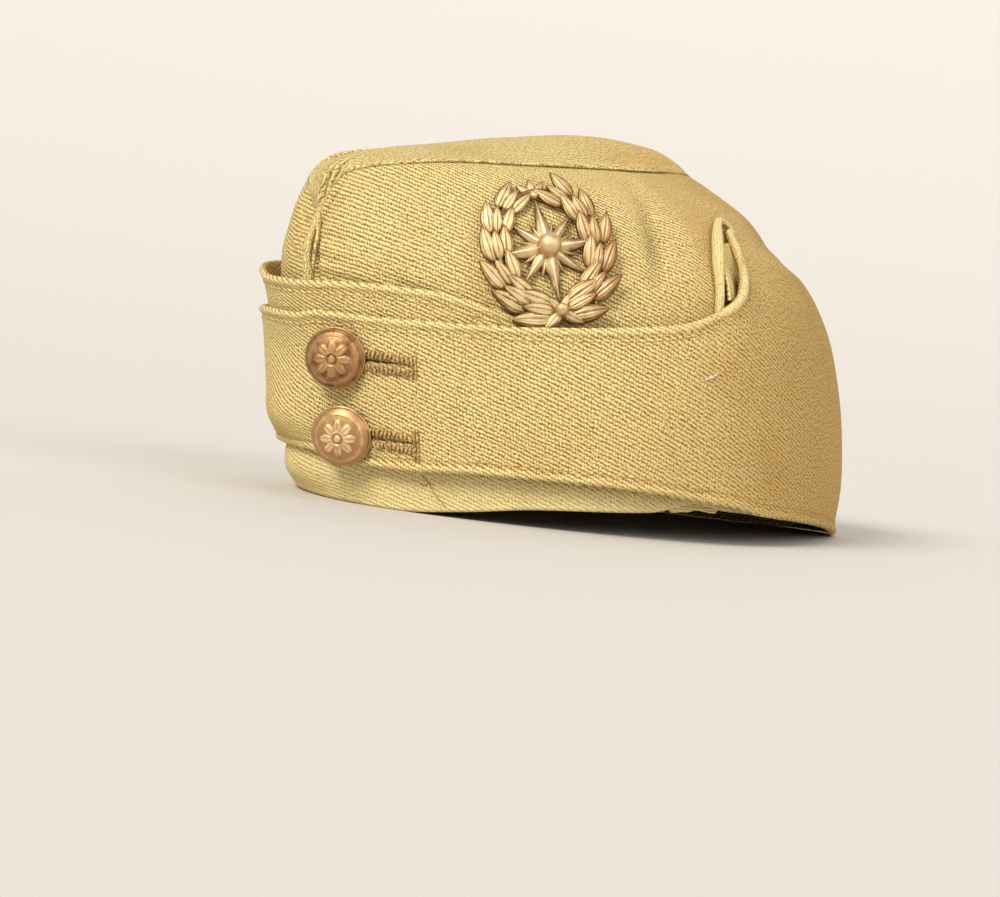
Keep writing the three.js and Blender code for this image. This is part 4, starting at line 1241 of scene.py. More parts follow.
def metal_material(name, look, roughness, reach):
    """Old brass or bronze: dark in the hollows, pale where it is rubbed.

    The reach is where, in metres along the cap, the body's colour turns into the rear's; on the badge the
    rear's colour is painted shade.
    """
    material, shader = principled(name)
    place = object_place(material.node_tree)
    stain, grain = noise(place, 260.0, 4.0, 0.65), noise(place, 1800.0, 3.0, 0.6)
    worn = tone_of(material.node_tree) + (stain * 0.9 - 0.45)
    body = mixed(between(axis(place, "Y"), *reach), look["body"], look["rear"])
    base = mixed(between(worn, 0.0, 0.45), look["hollow"], body)
    values = {
        "Base Color": mixed(between(worn, 0.5, 1.0), base, look["rubbed"]),
        "Metallic": 0.85,
        "Roughness": stain * 0.3 + roughness,
        "Normal": bumped(stain * 1.5 + grain, 0.00006, 0.6),
    }
    fill(shader, values)
    return material


def thread_material(name, look):
    """Sewing thread or cord with a fine twist."""
    material, shader = principled(name)
    place = object_place(material.node_tree)
    twist = noise(place, 1500.0)
    colour = mixed(between(noise(place, 180.0), 0.35, 0.65), look["body"], look["worn"])
    # The base colour is darkest in the low places of the twist: painted shade.
    values = {
        "Base Color": mixed(between(twist, 0.3, 0.7), look["gap"], colour),
        "Roughness": 0.85,
        "Normal": bumped(twist, 0.0001),
    }
    fill(shader, values)
    return material


# Colours of each finish: six digits, or the name of a colour in the scene's own settings
# In the cloth finishes below, gap and shade are painted shade, rear is painted shade towards the rear, and
# high is partly wear and partly painted highlight.
SERGE = {
    "gap": "gap",
    "yarn": "yarn",
    "high": "high",
    "stain": "F5E7D4",
    "rear": "FFE7C2",
    "fade": "high",
    "shade": "5A4028",
}
CORD_SERGE = {**SERGE, "rear": "FFF8EC", "gap": "96703A"}
TWILL = {
    "gap": "6A4A1A",
    "yarn": "lining",
    "high": "F2E2A0",
    "stain": "F0E0C0",
    "rear": "F4EAD8",
    "fade": "D8C078",
    "shade": "3A2810",
}
BRONZE = {"hollow": "54301A", "body": "bronze", "rubbed": "F0CFA0", "rear": "bronze"}
# The badge's rear colour is painted shade on its rear branch.
BRASS = {"hollow": "7C582C", "body": "brass", "rubbed": "F8E8C4", "rear": "A4744A"}
THREAD = {"body": "thread", "worn": "D6B473", "gap": "80602F"}
LINT = {"body": "F2EEDC", "worn": "FFFDF2", "gap": "80602F"}
CORD = {"body": "yarn", "worn": "high", "gap": "80602F"}

# Cloth: pitch of the ribs and of the yarns, relief, wander of the ribs, fuzz.
# Metal: roughness, and the reach of the change of colour.
FINISHES = {
    "serge": (cloth_material, "Wool serge", SERGE, 1.3, 1.12, 0.45),
    "top": (cloth_material, "Serge of the top", SERGE, 1.6, 1.4, 0.5, 0.4, (0.3, 0.4)),
    "welt": (cloth_material, "Serge on the cord", CORD_SERGE, 1.0, 1.1, 0.5, 0.3, (0.22, 0.22)),
    "lining": (cloth_material, "Cotton twill", TWILL, 0.8, 2.4, 0.3, 0.1, (0.03, 0.03)),
    "thread": (thread_material, "Sewing thread", THREAD),
    "lint": (thread_material, "Lint", LINT),
    "rope": (thread_material, "Cord", CORD),
    "bronze": (metal_material, "Button bronze", BRONZE, 0.3, (0.0, 1.0)),
    "brass": (metal_material, "Badge brass", BRASS, 0.34, (-0.07, -0.04)),
}


def material_for(kind):
    """The material of a kind, made when it is first asked for."""
    make, name, look, *settings = FINISHES[kind]
    chosen = bpy.context.scene.cap_finish
    colours = {part: tuple(getattr(chosen, text, ())) or srgb(text) for part, text in look.items()}
    return bpy.data.materials.get(name) or make(name, colours, *settings)


def dress(piece, kind, slot_name, *nodes):
    """Gives a finished piece its material and its body, and hides the solids it stands for; the slot is not
    used.
    """
    piece.data.materials.clear()
    piece.data.materials.append(material_for(kind))
    if nodes:
        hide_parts(*nodes)
    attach(piece, "root")


# Geometry Nodes


def real_mesh(tree, start, end, geometry):
    """Ends a tree: instances made real, and the material set."""
    real = output(tree, "GeometryNodeRealizeInstances", 0, {0: geometry})
    inputs = {"Geometry": real, "Material": start["Material"]}
    plug(end.inputs[0], output(tree, "GeometryNodeSetMaterial", "Geometry", inputs))
    return tree


def carried(tree, name, kind="FLOAT"):
    """What the points of a mesh carry under a name."""
    return output(tree, "GeometryNodeInputNamedAttribute", "Attribute", {"Name": name}, data_type=kind)


def points_tree(name):
    """Sets one shape on every point, turned to the point's own directions."""
    inputs = {
        "Geometry": ("Geometry", None),
        "Shape": ("Object", None),
        "Size": ("Float", 1.0),
        "Unevenness": ("Float", 0.1),
        "Seed": ("Int", 3),
        "Material": ("Material", None),
    }
    tree, start, end = node_group("GeometryNodeTree", name, inputs, "Geometry")
    directions = {
        "Primary Axis": carried(tree, "along", "FLOAT_VECTOR"),
        "Secondary Axis": carried(tree, "up", "FLOAT_VECTOR"),
    }
    axes = {"primary_axis": "X", "secondary_axis": "Z"}
    uneven = start["Unevenness"]
    limits = {2: uneven * -1.0 + 1.0, 3: uneven + 1.0, "Seed": start["Seed"]}
    chance = output(tree, "FunctionNodeRandomValue", 1, limits, data_type="FLOAT")
    placing = {
        "Points": start["Geometry"],
        "Instance": output(tree, "GeometryNodeObjectInfo", "Geometry", {"Object": start["Shape"]}),
        "Rotation": output(tree, "FunctionNodeAxesToRotation", "Rotation", directions, **axes),
        "Scale": carried(tree, "size") * start["Size"] * chance,
    }
    return real_mesh(tree, start, end, output(tree, "GeometryNodeInstanceOnPoints", "Instances", placing))


def rope_tree(name):
    """Twists round strands into a rope along the edges that it is given."""
    inputs = {
        "Geometry": ("Geometry", None),
        "Radius": ("Float", 0.001),
        "Pitch": ("Float", 0.006),
        "Step": ("Float", 0.0004),
        "Material": ("Material", None),
    }
    tree, start, end = node_group("GeometryNodeTree", name, inputs, "Geometry")
    line = output(tree, "GeometryNodeMeshToCurve", "Curve", {"Mesh": start["Geometry"]})
    line = output(
        tree, "GeometryNodeResampleCurve", "Curve", {"Curve": line, "Length": start["Step"]}, mode="LENGTH"
    )
    tilt = output(tree, "GeometryNodeSplineParameter", "Length") / start["Pitch"] * (2 * math.pi)
    line = output(tree, "GeometryNodeSetCurveTilt", "Curve", {"Curve": line, "Tilt": tilt})
    joined = node(tree, "GeometryNodeJoinGeometry")
    strands, strand_size, strand_reach = 3, 0.58, 0.52
    for k in range(strands):
        angle = 2 * math.pi * k / strands
        shape = {"Resolution": 10, "Radius": start["Radius"] * strand_size}
        circle = output(tree, "GeometryNodeCurvePrimitiveCircle", "Curve", shape, mode="RADIUS")
        reach = start["Radius"] * strand_reach
        offset = {"X": reach * math.cos(angle), "Y": reach * math.sin(angle)}
        move = {"Geometry": circle, "Translation": output(tree, "ShaderNodeCombineXYZ", 0, offset)}
        plug(joined.inputs[0], output(tree, "GeometryNodeTransform", "Geometry", move))
    share = carried(tree, "size")
    line = output(tree, "GeometryNodeSetCurveRadius", "Curve", {"Curve": line, "Radius": share})
    sweep = {"Curve": line, "Profile Curve": Signal(joined.outputs[0]), "Scale": share, "Fill Caps": True}
    return real_mesh(tree, start, end, output(tree, "GeometryNodeCurveToMesh", "Mesh", sweep))


def run_tree(host, tree, kind, values):
    """Runs a tree on an object and keeps the result as the object's own mesh."""
    modifier = host.modifiers.new(tree.name, "NODES")
    modifier.node_group = tree
    sockets = {item.name: item.identifier for item in tree.interface.items_tree if item.in_out == "INPUT"}
    for label, value in {**values, "Material": material_for(kind)}.items():
        modifier[sockets[label]] = value
    graph = bpy.context.evaluated_depsgraph_get()
    mesh = bpy.data.meshes.new_from_object(host.evaluated_get(graph))
    host.modifiers.clear()
    host.data = mesh
    mesh.shade_smooth()
    return host


def set_on_points(name, places, along, up, sizes, shape, kind, unevenness, seed):
    """Piece made of one shape repeated on points, each with its directions and its size."""
    mesh = bpy.data.meshes.new(name)
    mesh.from_pydata((np.asarray(places) * MM).tolist(), [], [])
    carry(mesh, "along", along)
    carry(mesh, "up", np.broadcast_to(up, (len(places), 3)))
    carry(mesh, "size", np.broadcast_to(sizes, len(places)))
    values = {"Shape": shape, "Size": 1.0, "Unevenness": unevenness, "Seed": seed}
    return run_tree(new_object(name, mesh), shared("Shapes on points", points_tree), kind, values)


def capsule(name, length, radius, arch=0.0):
    """Short thread stitch along X with closed, rounded ends."""
    t = np.linspace(0, 1, 7)
    path = np.stack([(t - 0.5) * length, 0 * t, arch * np.sin(np.pi * t)], axis=-1)
    radii = radius * np.array([0.35, 0.85, 1, 1, 1, 0.85, 0.35])
    return tube_object(name, path, radii, 6, np.array([0.0, 0, 1]))


def discard(*objects):
    """Removes the shapes that were only repeated on points."""
    for obj in objects:
        mesh = obj.data
        bpy.data.objects.remove(obj)
        bpy.data.meshes.remove(mesh)


# Stitching


def flap_stitches(side):
    """Lines of the two rows of topstitching, one along each hem of a flap."""
    flap = FLAPS[side]
    at = np.linspace(flap.start + 0.06, 1.97, 700)
    lower = flap_face(side, at, flap.lower(at) + HEM_STITCH_INSET)
    hem = flap.hem
    free = np.linspace(flap.start, VENT_TOP_AT, len(hem))
    along = unit(np.gradient(hem, axis=0))
    line = hem + np.stack([along[:, 1], -along[:, 0]], axis=-1) * HEM_STITCH_INSET
    at = np.interp(line[:, 0], hem[:, 0], free)
    z = flap.upper(free) - (hem - line)[:, 1] * 0.97
    inside = slice(25, -6)  # the row stops short of both ends of the hem
    return lower, flap_face(side, at[inside], z[inside])


def in_mm(length):
    """A length from the scene's own settings, which are in metres."""
    return round(length / MM, 4)


def hem_stitches(sizes):
    """Running stitches along both hems of both flaps."""
    shape = capsule("stitch_shape", in_mm(sizes.stitch_length), in_mm(sizes.stitch_radius))
    made = []
    for index, line in enumerate((*flap_stitches(LEFT), *flap_stitches(RIGHT))):
        rows = resample(np.concatenate(line, axis=1), in_mm(sizes.stitch_spacing))
        places, up = rows[:, :3], unit(rows[:, 3:])
        along = unit(np.gradient(places, axis=0))
        name = f"hem_stitches_{index + 1}"
        made.append(set_on_points(name, places, along, up, 1.0, shape, "thread", 0.12, 5 + index))
    discard(shape)
    return made


def buttonhole_stitches(sizes):
    """Purl stitches along both sides of each slit and a bar across its end."""
    shape = capsule("purl_shape", in_mm(sizes.purl_length), in_mm(sizes.purl_radius), PURL_ARCH)
    made = []
    for place in BUTTONS:
        rearward, upward, outward = cloth_basis(place["at"], place["z"])
        places, along = [], []
        for edge in (1, -1):
            for distance in np.arange(PURL_START, BUTTONHOLE_LENGTH, in_mm(sizes.purl_spacing)):
                lean = 0.4 * math.sin(distance * 5.1 + edge) + 0.3 * math.sin(distance * 11.3)
                places.append(hole_point(place, distance, edge * PURL_INSET))
                along.append(unit(upward + lean * rearward))
        reach = place["bar"] / 2
        for offset in (-0.55, 0.55):
            for step in np.linspace(-reach + 1.2, reach - 1.2, round(reach)):
                places.append(hole_point(place, BUTTONHOLE_LENGTH + 0.4 + offset, step))
                along.append(unit(upward))
        name = place["name"].replace("button", "buttonhole_stitches")
        made.append(set_on_points(name, places, along, outward, 1.0, shape, "thread", 0.28, 11))
    discard(shape)
    return made


def cloth_basis(at, z):
    """Rearward, up and outward directions at a place of the left side."""
    outward = crown_normal(at, z)
    rearward = smooth_crown(at + 0.02, z) - smooth_crown(at - 0.02, z)
    rearward = unit(rearward - outward * np.dot(rearward, outward))
    return np.stack([rearward, np.cross(outward, rearward), outward])


def hole_point(place, distance, off):
    """Point beside a buttonhole, so far behind its button and so far above the slit."""
    u0, _ = CLOTH(place["at"], place["z"])
    near = np.linspace(place["at"] - 0.1, place["at"] + 0.6, 200)
    at = np.interp(u0 + distance, CLOTH(near, place["z"])[0], near)
    z = place["z"] - SLIT_SLOPE * distance + off
    lift, _, _ = FLAPS[LEFT].faces(np.array([at]), np.array([z]))
    relief, _ = buttonhole_relief(np.array([at]), np.array([z]))
    return on_crown(at, z, lift[0] + relief[0] * 0.5 + 0.15)


def loose_thread(name, points, size):
    """Loose end of thread lying on the band."""
    line = smooth_path(points, 24)
    at, z = line[:, 0], line[:, 1]
    path = on_crown(at, z, crown_lift(at, z, LEFT) + size)
    path[:, 2] = np.maximum(path[:, 2], 2 * size)
    return tube_object(name, path, size, 6, crown_normal(at, z))


def lint_fleck(name):
    """Fleck of lint on the left flap, thin at its ends."""
    count = 12
    line = smooth_path(LINT_FLECK, count)
    face, normal = flap_face(LEFT, line[:, 0], line[:, 1])
    radii = 0.5 * (0.4 + 0.6 * np.sin(np.pi * np.linspace(0.05, 0.95, count)))
    return tube_object(name, face + normal * 0.2, radii, 8, normal)


# Buttons


def button_profile(r):
    """Height of a button's face over its flat back: rolled rim and low dome."""
    fall = np.sqrt(np.maximum(1 - (r / (BUTTON_RADIUS - 0.4)) ** 2, 0))
    rim = 0.1 * bump(r, BUTTON_RADIUS - 0.5, 0.35) - 0.04 * bump(r, BUTTON_RADIUS - 1.1, 0.25)
    return BUTTON_RIM + (BUTTON_DOME - BUTTON_RIM) * fall + rim


def button_object(name, place):
    """Domed button with a raised rosette of eight petals, on its shank."""
    sides = 96
    radii = np.concatenate([np.linspace(0.12, 6.2, 34), np.linspace(6.4, BUTTON_RADIUS - 0.02, 22)])
    r, a = np.meshgrid(radii, turns(sides), indexing="ij")
    petals = 2.6 + 3.4 * np.abs(np.cos(4 * a)) ** 0.6
    leaf = ease((petals - r) / 0.7) * ease((r - 1.5) / 0.5)
    vein = 0.16 * bump(np.sin(4 * a), 0, 0.12) * ease((r - 2.2) / 0.6)
    boss, bead = 0.55 * ease((1.35 - r) / 0.5), 0.16 * bump(r, 7.3, 0.2)
    relief = 0.42 * leaf - vein * leaf + boss + bead
    face = np.stack([r * np.cos(a), r * np.sin(a), button_profile(r) + relief], axis=-1)
    lift = float(FLAPS[LEFT].flared(place["at"], place["z"]) + BUTTON_STAND_OFF)
    back_profile = [
        (BUTTON_RADIUS, BUTTON_RIM * 0.6),
        (BUTTON_RADIUS - 0.3, 0.35),
        (BUTTON_RADIUS - 1.2, 0.1),
        (SHANK_RADIUS + 0.8, 0.0),
        (SHANK_RADIUS, -0.4),
        (SHANK_RADIUS, SHANK_FOOT_LIFT - lift),
        (0.12, SHANK_FOOT_LIFT - lift),
    ]
    back = rings(back_profile, sides)
    faces = capped(ring_index(len(face) + len(back), sides))
    # The button's last column adds painted light all over it.
    tone = 0.22 + place["wear"] + 0.2 * ease((r - 5) / 4) + 0.8 * relief - 0.4 * vein
    tone = tone - 0.2 * bump(r, BUTTON_RADIUS - 1.1, 0.4)
    tone = np.concatenate([tone.ravel(), np.full(len(back) * sides, 0.1)])
    tilt = np.array(Matrix.Rotation(math.radians(BUTTON_TILT), 3, "Y"))
    points = np.concatenate([face, back]).reshape(-1, 3) @ tilt.T
    points = to_cloth(points, place["at"], place["z"], lift)
    return mesh_object(name, points, face_out(points, faces), None, tone)


def to_cloth(points, at, z, lift):
    """Points in a place's own directions (rearward, up, outward) brought on to the cap."""
    return points @ cloth_basis(at, z) + on_crown(at, z, lift)


# Badge


def flat_backed(name, x, y, z, tone, skip):
    """Small relief with a flat back, which keeps only some of the rows."""
    top, under = (np.stack([x, y, height], axis=-1) for height in (z, 0 * z))
    uv = top[..., :2]
    return wall_object(name, top, under[:, ::skip], uv, uv[:, ::skip], tone)


def leaf_shape(name, length, width, rise):
    """Laurel leaf along X: pointed, swollen halves, sunken midrib."""
    s, w = np.linspace(0, 1, 21)[:, None], np.linspace(-1, 1, 25)[None, :]
    half = width / 2 * np.sin(np.pi * s**0.75) ** 0.8 + 0.04
    swell = np.sin(np.pi * np.clip(s, 0.02, 0.98)) ** 0.6
    body, rib = (1 - np.abs(w) ** 2.4) * swell, bump(w, 0, 0.14) * swell
    veins = (bump(np.abs(w), 0.4, 0.09) + bump(np.abs(w), 0.72, 0.08)) * swell
    z = BADGE_BACK + rise * (body * 0.9 - 0.45 * rib - 0.2 * veins) + 0.25 * rise * s
    tone = 0.02 + 0.85 * body - 0.75 * rib - 0.45 * veins
    return flat_backed(name, s * length + 0 * w, half * w, z, tone, 6)


def ray_shape(name, length, width, rise):
    """Ray of the star: a kite with a sharp ridge."""
    s, w = np.linspace(0, 1, 13)[:, None], np.linspace(-1, 1, 9)[None, :]
    knots = [0, 0.28, 1]
    half = width / 2 * np.interp(s, knots, [0.75, 1, 0.03])
    ridge = (1 - np.abs(w)) * np.interp(s, knots, [0.9, 1, 0.25])
    groove = 0.18 * bump(np.abs(w), 0.62, 0.12) + 0 * s
    z = BADGE_BACK + rise * (ridge - groove)
    return flat_backed(name, s * length + 0 * w, half * w, z, 0.15 + 0.8 * ridge - 1.2 * groove, 4)


def dome_shape(name, radius, rise):
    """Round bead, flat behind."""
    profile = [(radius * p, BADGE_BACK + rise * math.sqrt(1 - p * p)) for p in np.linspace(0.02, 1, 9)]
    points = rings([*profile, (radius, 0)], 20)
    faces = capped(ring_index(*points.shape[:2]))
    points = points.reshape(-1, 3)
    return mesh_object(name, points, face_out(points, faces), points[:, :2], np.full(len(points), 0.45))


def oval_point(angle, reach=1.0):
    """Point on the wreath's oval, or inside or outside it for another reach."""
    return WREATH_WIDTH / 2 * reach * math.cos(angle), WREATH_HEIGHT / 2 * reach * math.sin(angle)


def headings(angles, rise):
    """Directions in the badge's plane that rise a little out of it."""
    return [(math.cos(angle), math.sin(angle), rise) for angle in angles]


# The three leaves of each step of a branch: turn, distance beside the branch, height and size
LEAF_SPLAYS = [(0.12, 2.1, 0.0, 1.0), (-0.2, -2.1, 0.15, 0.95), (0.02, 0, 0.7, 0.8)]


def wreath_places():
    """Places, directions and sizes of the leaves along both branches."""
    places, along, sizes = [], [], []
    for branch in (1, -1):
        for k in range(BRANCH_STEPS):
            angle = 2 * math.pi * branch * (0.025 + 0.43 * k / BRANCH_STEPS) - math.pi / 2
            x, y = oval_point(angle)
            dx, dy = -WREATH_WIDTH / 2 * math.sin(angle), WREATH_HEIGHT / 2 * math.cos(angle)
            heading = math.atan2(dy * branch, dx * branch)
            for splay, beside, height, size in LEAF_SPLAYS:
                turned = heading + splay + 0.08 * math.sin(3.7 * k + 5 * splay + branch)
                places.append((x - beside * math.sin(heading), y + beside * math.cos(heading), height))
                along += headings([turned], 0.1 + 0.05 * height)
                sizes.append(size * (1.0 - 0.22 * k / BRANCH_STEPS))
    return places, along, sizes


def badge_object(name):
    """Oval laurel wreath with a rayed star, knot and bud, bowed to the crown's side."""
    up = np.array([0.0, 0, 1])
    leaf = leaf_shape("leaf_shape", **LEAF)
    ray = ray_shape("ray_shape", **RAY)
    bead = dome_shape("bead_shape", **BEAD)
    bottom, top = -WREATH_HEIGHT / 2, WREATH_HEIGHT / 2
    rays = headings([math.pi / 2 + 2 * math.pi * k / STAR_RAYS for k in range(STAR_RAYS)], 0)
    reaches = [(0.98, 0.55, 0.8, 0.55)[k % 4] for k in range(STAR_RAYS)]
    knot = headings([-2.5, -0.64, math.pi + 2.5, math.pi + 0.64, 2.2, 0.94], 0.05)
    bud = headings([math.pi / 2 - 0.75, math.pi / 2, math.pi / 2 + 0.75], 0.05)
    trim = [(0, bottom, 0.5)] * len(knot) + [(0, top - 1.8, 0.4)] * len(bud)
    trim_sizes = [0.62] * 4 + [0.46] * 2 + [0.5] * 3
    beads = [(0, 0, 1.2), (0, bottom, 1.0), (0, top - 1.6, 0.8)]
    for branch in (1, -1):
        for k in range(BRANCH_BEADS):
            angle = 2 * math.pi * branch * (0.055 + 0.44 * k / (BRANCH_BEADS + 1)) - math.pi / 2
            beads.append((*oval_point(angle, 1.2 if k % 2 else 0.8), 0))
    flat, bead_sizes = [(1.0, 0, 0)] * len(beads), [3.6, 1.9, 1.3] + [0.7] * (len(beads) - 3)
    repeats = [
        ("badge_leaves", *wreath_places(), leaf, 0.05),
        ("badge_rays", [(0, 0, 0)] * len(rays), rays, reaches, ray, 0.0),
        ("badge_trim", trim, knot + bud, trim_sizes, leaf, 0.0),
        ("badge_beads", beads, flat, bead_sizes, bead, 0.0),
    ]
    parts = []
    for part, places, along, sizes, shape, unevenness in repeats:
        parts.append(set_on_points(part, places, along, up, sizes, shape, "brass", unevenness, 7))
    stem = [(*oval_point(angle), BADGE_BACK) for angle in np.linspace(0, 2 * np.pi, 97)]
    parts.append(tube_object("badge_stem", stem, 0.85, 8, up, 0.1))
    discard(leaf, ray, bead)
    return joined_badge(name, parts)


def joined_badge(name, parts):
    """Joins the badge's parts, bows them and sets them on the cap."""
    with bpy.context.temp_override(active_object=parts[0], selected_editable_objects=parts):
        bpy.ops.object.join()
    badge = parts[0]
    badge.name = badge.data.name = name
    mesh = badge.data
    flat = np.empty(len(mesh.vertices) * 3)
    mesh.vertices.foreach_get("co", flat)
    points = flat.reshape(-1, 3) / MM
    bow = points[:, 0] ** 2 / (2 * BADGE_BOW["across"]) + points[:, 1] ** 2 / (2 * BADGE_BOW["up"])
    points[:, 2] = np.maximum(points[:, 2], 0) - bow
    lean = Matrix.Rotation(math.radians(BADGE_LEAN), 3, "Z")
    tip = Matrix.Rotation(math.radians(-BADGE_TIP), 3, "X")
    placed = to_cloth(points @ np.array(tip @ lean).T, BADGE_AT, BADGE_Z, BADGE_LIFT) * MM
    mesh.vertices.foreach_set("co", placed.ravel())
    mesh.update()
    return badge


# Stage


def stage_floor(name):
    """Pale floor that rises gently into a bowl, so that no horizon shows."""
    radii = np.concatenate([[0.001, 0.3, 0.8], np.linspace(1.3, 7, 28)])
    heights = 0.05 * np.maximum(radii - 1.3, 0) ** 2
    points = rings(zip(radii, heights), 96)
    index = ring_index(*points.shape[:2])
    faces = [*quads(index)[:, ::-1].tolist(), index[0, :-1].tolist()]
    floor = mesh_object(name, points.reshape(-1, 3) / MM, faces)
    material, shader = principled("Pale paper")
    fill(shader, {"Base Color": srgb("CFCBC5"), "Roughness": 0.9})
    floor.data.materials.append(material)


def direction(azimuth, elevation):
    """From the cap outwards, in degrees round from the front and up from level."""
    a, e = math.radians(azimuth), math.radians(elevation)
    return Vector((math.sin(a) * math.cos(e), -math.cos(a) * math.cos(e), math.sin(e)))


def soft_light(name, azimuth, elevation, spread, power, colour):
    """Wide, even light at an angle round the cap, as from a large softbox."""
    data = bpy.data.lights.new(name, "SUN")
    data.angle, data.energy, data.color = math.radians(spread), power, colour
    lamp = new_object(name, data)
    lamp.location = direction(azimuth, elevation)
    lamp.rotation_euler = (-direction(azimuth, elevation)).to_track_quat("-Z", "Y").to_euler()


def photo_camera(name):
    """Camera at the photo's angle to the cap, with the photo's framing."""
    data = bpy.data.cameras.new(name)
    camera = new_object(name, data)
    a, roll = math.radians(CAMERA_AZIMUTH), math.radians(CAMERA_ROLL)
    back = direction(CAMERA_AZIMUTH, CAMERA_ELEVATION)
    right = Vector((math.cos(a), math.sin(a), 0))
    up = back.cross(right)
    right, up = right * math.cos(roll) + up * math.sin(roll), up * math.cos(roll) - right * math.sin(roll)
    place = (Vector(CAMERA_TARGET) + back * CAMERA_DISTANCE) * MM
    camera.matrix_world = Matrix.Translation(place) @ Matrix((right, up, back)).transposed().to_4x4()
    data.sensor_width = SENSOR_WIDTH
    data.lens = PIXELS_PER_MM * CAMERA_DISTANCE / PHOTO_SIZE[0] * SENSOR_WIDTH
    data.shift_x = (PHOTO_SIZE[0] / 2 - TARGET_PIXEL[0]) / PHOTO_SIZE[0]
    data.shift_y = (TARGET_PIXEL[1] - PHOTO_SIZE[1] / 2) / PHOTO_SIZE[0]
    data.clip_start, data.clip_end = 0.01, 50
    bpy.context.scene.camera = camera


# Properties


def count_property(name, description, default, least):
    return bpy.props.IntProperty(name=name, description=description, default=default, min=least)


def colour_property(name, description, digits):
    return bpy.props.FloatVectorProperty(
        name=name, description=description, subtype="COLOR", size=3, min=0, max=1, default=srgb(digits)
    )


def power_property(name, description, default):
    return bpy.props.FloatProperty(name=name, description=description, default=default)


def length_property(name, description, millimetres):
    return bpy.props.FloatProperty(
        name=name, description=description, unit="LENGTH", precision=5, min=0, default=millimetres * MM
    )


class CapSizes(bpy.types.PropertyGroup):
    """Sizes of the stitches, and of the cords on the top seams."""

    stitch_length: length_property("Hem stitch", "Length of a stitch on a hem", 1.9)
    stitch_radius: length_property("Hem thread", "Radius of the thread on the hems", 0.18)
    stitch_spacing: length_property("Hem spacing", "From one stitch of a hem to the next", 2.5)
    purl_length: length_property("Buttonhole stitch", "Length of a stitch on a buttonhole", 2.7)
    purl_radius: length_property("Buttonhole thread", "Radius of the thread on the buttonholes", 0.4)
    purl_spacing: length_property("Buttonhole spacing", "From one buttonhole stitch to the next", 1.3)
    left_cord: length_property("Left cord", "Radius of the cord on the left top seam", 0.5)
    right_cord: length_property("Right cord", "Radius of the cord on the right top seam", 1.2)


class CapMesh(bpy.types.PropertyGroup):
    """How fine the cloth meshes are."""

    side_columns: count_property("Crown columns", "Columns of a side of the crown", 420, 60)
    side_rows: count_property("Crown rows", "Rows of a side of the crown", 190, 20)
    flap_columns: count_property("Flap columns", "Columns of a flap", 560, 80)
    flap_rows: count_property("Flap rows", "Rows between a flap's hems", 58, 16)


class CapFinish(bpy.types.PropertyGroup):
    """Colours of the cloth and the metal."""

    # The gap colour is painted shade between the yarns. The high colour is partly wear and partly painted
    # highlight on raised yarn, and it also paints light where the tone is above 0.
    gap: colour_property("Cloth gaps", "Colour in the gaps between the yarns", "744C14")
    yarn: colour_property("Cloth yarn", "Colour of the yarn", "ECCB7E")
    high: colour_property("Cloth wear", "Colour of worn and raised yarn", "FFF0B2")
    lining: colour_property("Lining", "Colour of the lining", "DCBC6A")
    thread: colour_property("Thread", "Colour of the sewing thread", "C8A666")
    bronze: colour_property("Bronze", "Colour of the buttons", "B48C5E")
    brass: colour_property("Brass", "Colour of the badge", "DCC290")


class CapStage(bpy.types.PropertyGroup):
    """Light on the stage."""

    key_power: power_property("Key light", "Strength of the main light", 2.9)
    fill_power: power_property("Fill light", "Strength of the fill light", 1.6)
    rear_power: power_property("Rear light", "Strength of the light behind", 0.7)
    sky: power_property("Sky", "Strength of the surrounding light", 0.45)


# Operators


def pair(stem):
    """Both sides, with the names of their solids."""
    return (LEFT, stem + "_left"), (RIGHT, stem + "_right")


class CAP_OT_crown(bpy.types.Operator):
    """Build both sides of the crown and the top panel"""

    bl_idname = "cap.crown"
    bl_label = "Crown"

    def execute(self, context):
        mesh = context.scene.cap_mesh
        for side, node_name in pair("crown"):
            piece = crown_side(node_name + "_cloth", side, mesh.side_columns, mesh.side_rows)
            dress(piece, "serge", "serge", node_name)
        dress(crown_top("crown_top_cloth", mesh.side_columns // 2, 96), "top", "serge", "crown_top")
        return {"FINISHED"}


class CAP_OT_flaps(bpy.types.Operator):
    """Build the two turned-up flaps"""

    bl_idname = "cap.flaps"
    bl_label = "Flaps"

    def execute(self, context):
        mesh = context.scene.cap_mesh
        for side, node_name in pair("flap"):
            piece = flap_object(node_name + "_cloth", side, mesh.flap_columns, mesh.flap_rows)
            dress(piece, "serge", "serge", node_name)
        return {"FINISHED"}


class CAP_OT_welts(bpy.types.Operator):
    """Build the front welt, the top seams' cords and the rolled vent lips"""

    bl_idname = "cap.welts"
    bl_label = "Welts"

    def execute(self, context):
        dress(front_welt("welt_front_roll"), "welt", "serge_welt", "welt_front")
        for rope in ROPES:
            radius = getattr(context.scene.cap_sizes, rope["radius"])
            dress(seam_cord(rope, radius), "rope", "serge_welt", rope["name"])
        for side, node_name in pair("vent_roll"):
            dress(vent_roll(node_name + "_cloth", side), "welt", "serge_welt", node_name)
        return {"FINISHED"}


class CAP_OT_lining(bpy.types.Operator):
    """Build the lining inside the rim and in the vents"""

    bl_idname = "cap.lining"
    bl_label = "Lining"

    def execute(self, context):
        dress(lining_band("lining_band_cloth"), "lining", "twill_lining", "lining_band")
        for side, node_name in pair("vent_lining"):
            dress(vent_lining(node_name + "_cloth", side), "lining", "twill_lining", node_name)
        return {"FINISHED"}


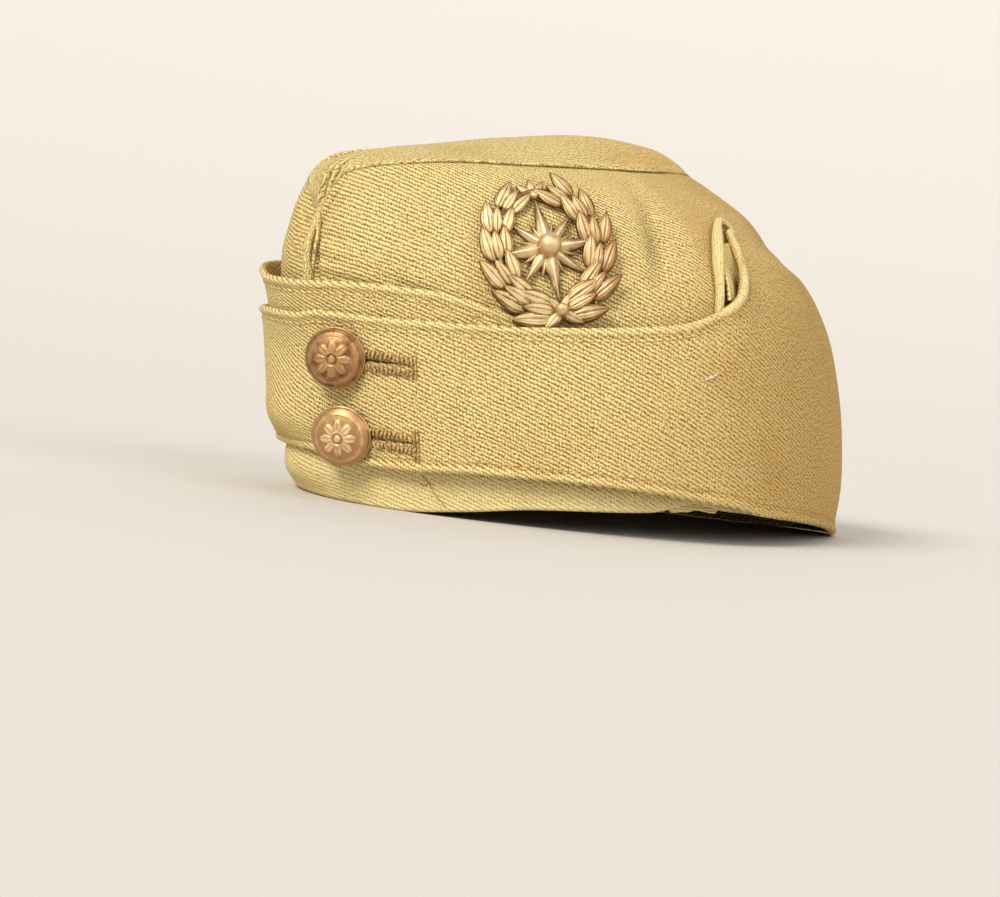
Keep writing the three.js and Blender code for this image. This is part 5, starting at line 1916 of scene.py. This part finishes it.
class CAP_OT_stitching(bpy.types.Operator):
    """Sew the hems and the buttonholes"""

    bl_idname = "cap.stitching"
    bl_label = "Stitching"

    def execute(self, context):
        sizes = context.scene.cap_sizes
        for piece in hem_stitches(sizes) + buttonhole_stitches(sizes):
            dress(piece, "thread", "serge_welt")
        dress(loose_thread("loose_thread_long", LONG_THREAD, 0.17), "thread", "serge_welt")
        dress(loose_thread("loose_thread_short", SHORT_THREAD, 0.14), "thread", "serge_welt")
        dress(lint_fleck("lint_fleck"), "lint", "serge_welt")
        return {"FINISHED"}


class CAP_OT_buttons(bpy.types.Operator):
    """Build the two buttons"""

    bl_idname = "cap.buttons"
    bl_label = "Buttons"

    def execute(self, context):
        for place in BUTTONS:
            dress(button_object(place["name"] + "_bronze", place), "bronze", "bronze", place["name"])
        return {"FINISHED"}


class CAP_OT_badge(bpy.types.Operator):
    """Build the wreath badge"""

    bl_idname = "cap.badge"
    bl_label = "Badge"

    def execute(self, context):
        dress(badge_object("badge_wreath"), "brass", "worn_brass", "badge")
        return {"FINISHED"}


class CAP_OT_stage(bpy.types.Operator):
    """Set up the floor, the lights and the camera"""

    bl_idname = "cap.stage"
    bl_label = "Stage"

    def execute(self, context):
        setup = context.scene.cap_stage
        stage_floor("stage_floor")
        for row in LIGHTS:
            soft_light(**{**row, "power": getattr(setup, row["power"])})
        world = bpy.data.worlds.new("Soft sky")
        world.use_nodes = True
        sky = world.node_tree.nodes["Background"]
        fill(sky, {"Color": (1.0, 0.98, 0.95), "Strength": setup.sky})
        context.scene.world = world
        context.scene.view_settings.view_transform = "Standard"
        photo_camera("photo_camera")
        return {"FINISHED"}


class CAP_PT_panel(bpy.types.Panel):
    """Lists the steps that build the cap"""

    bl_idname = "CAP_PT_panel"
    bl_label = "Field service cap"
    bl_space_type = "VIEW_3D"
    bl_region_type = "UI"
    bl_category = "Cap"

    def draw(self, context):
        for group in (getattr(context.scene, setting) for setting in SETTINGS):
            for name in group.__annotations__:
                self.layout.prop(group, name)
        for step in STEPS:
            self.layout.operator(step.bl_idname)


STEPS = (
    CAP_OT_stage,
    CAP_OT_crown,
    CAP_OT_flaps,
    CAP_OT_welts,
    CAP_OT_lining,
    CAP_OT_stitching,
    CAP_OT_buttons,
    CAP_OT_badge,
)
SETTINGS = {"cap_sizes": CapSizes, "cap_mesh": CapMesh, "cap_finish": CapFinish, "cap_stage": CapStage}
CLASSES = (*SETTINGS.values(), *STEPS, CAP_PT_panel)


def register():
    for cls in CLASSES:
        bpy.utils.register_class(cls)
    for name, group in SETTINGS.items():
        setattr(bpy.types.Scene, name, bpy.props.PointerProperty(type=group))


def unregister():
    for name in SETTINGS:
        delattr(bpy.types.Scene, name)
    for cls in reversed(CLASSES):
        bpy.utils.unregister_class(cls)


def main():
    register()
    bpy.ops.cap.stage()
    bpy.ops.cap.crown()
    bpy.ops.cap.flaps()
    bpy.ops.cap.welts()
    bpy.ops.cap.lining()
    bpy.ops.cap.stitching()
    bpy.ops.cap.buttons()
    bpy.ops.cap.badge()


if __name__ == "__main__":
    main()
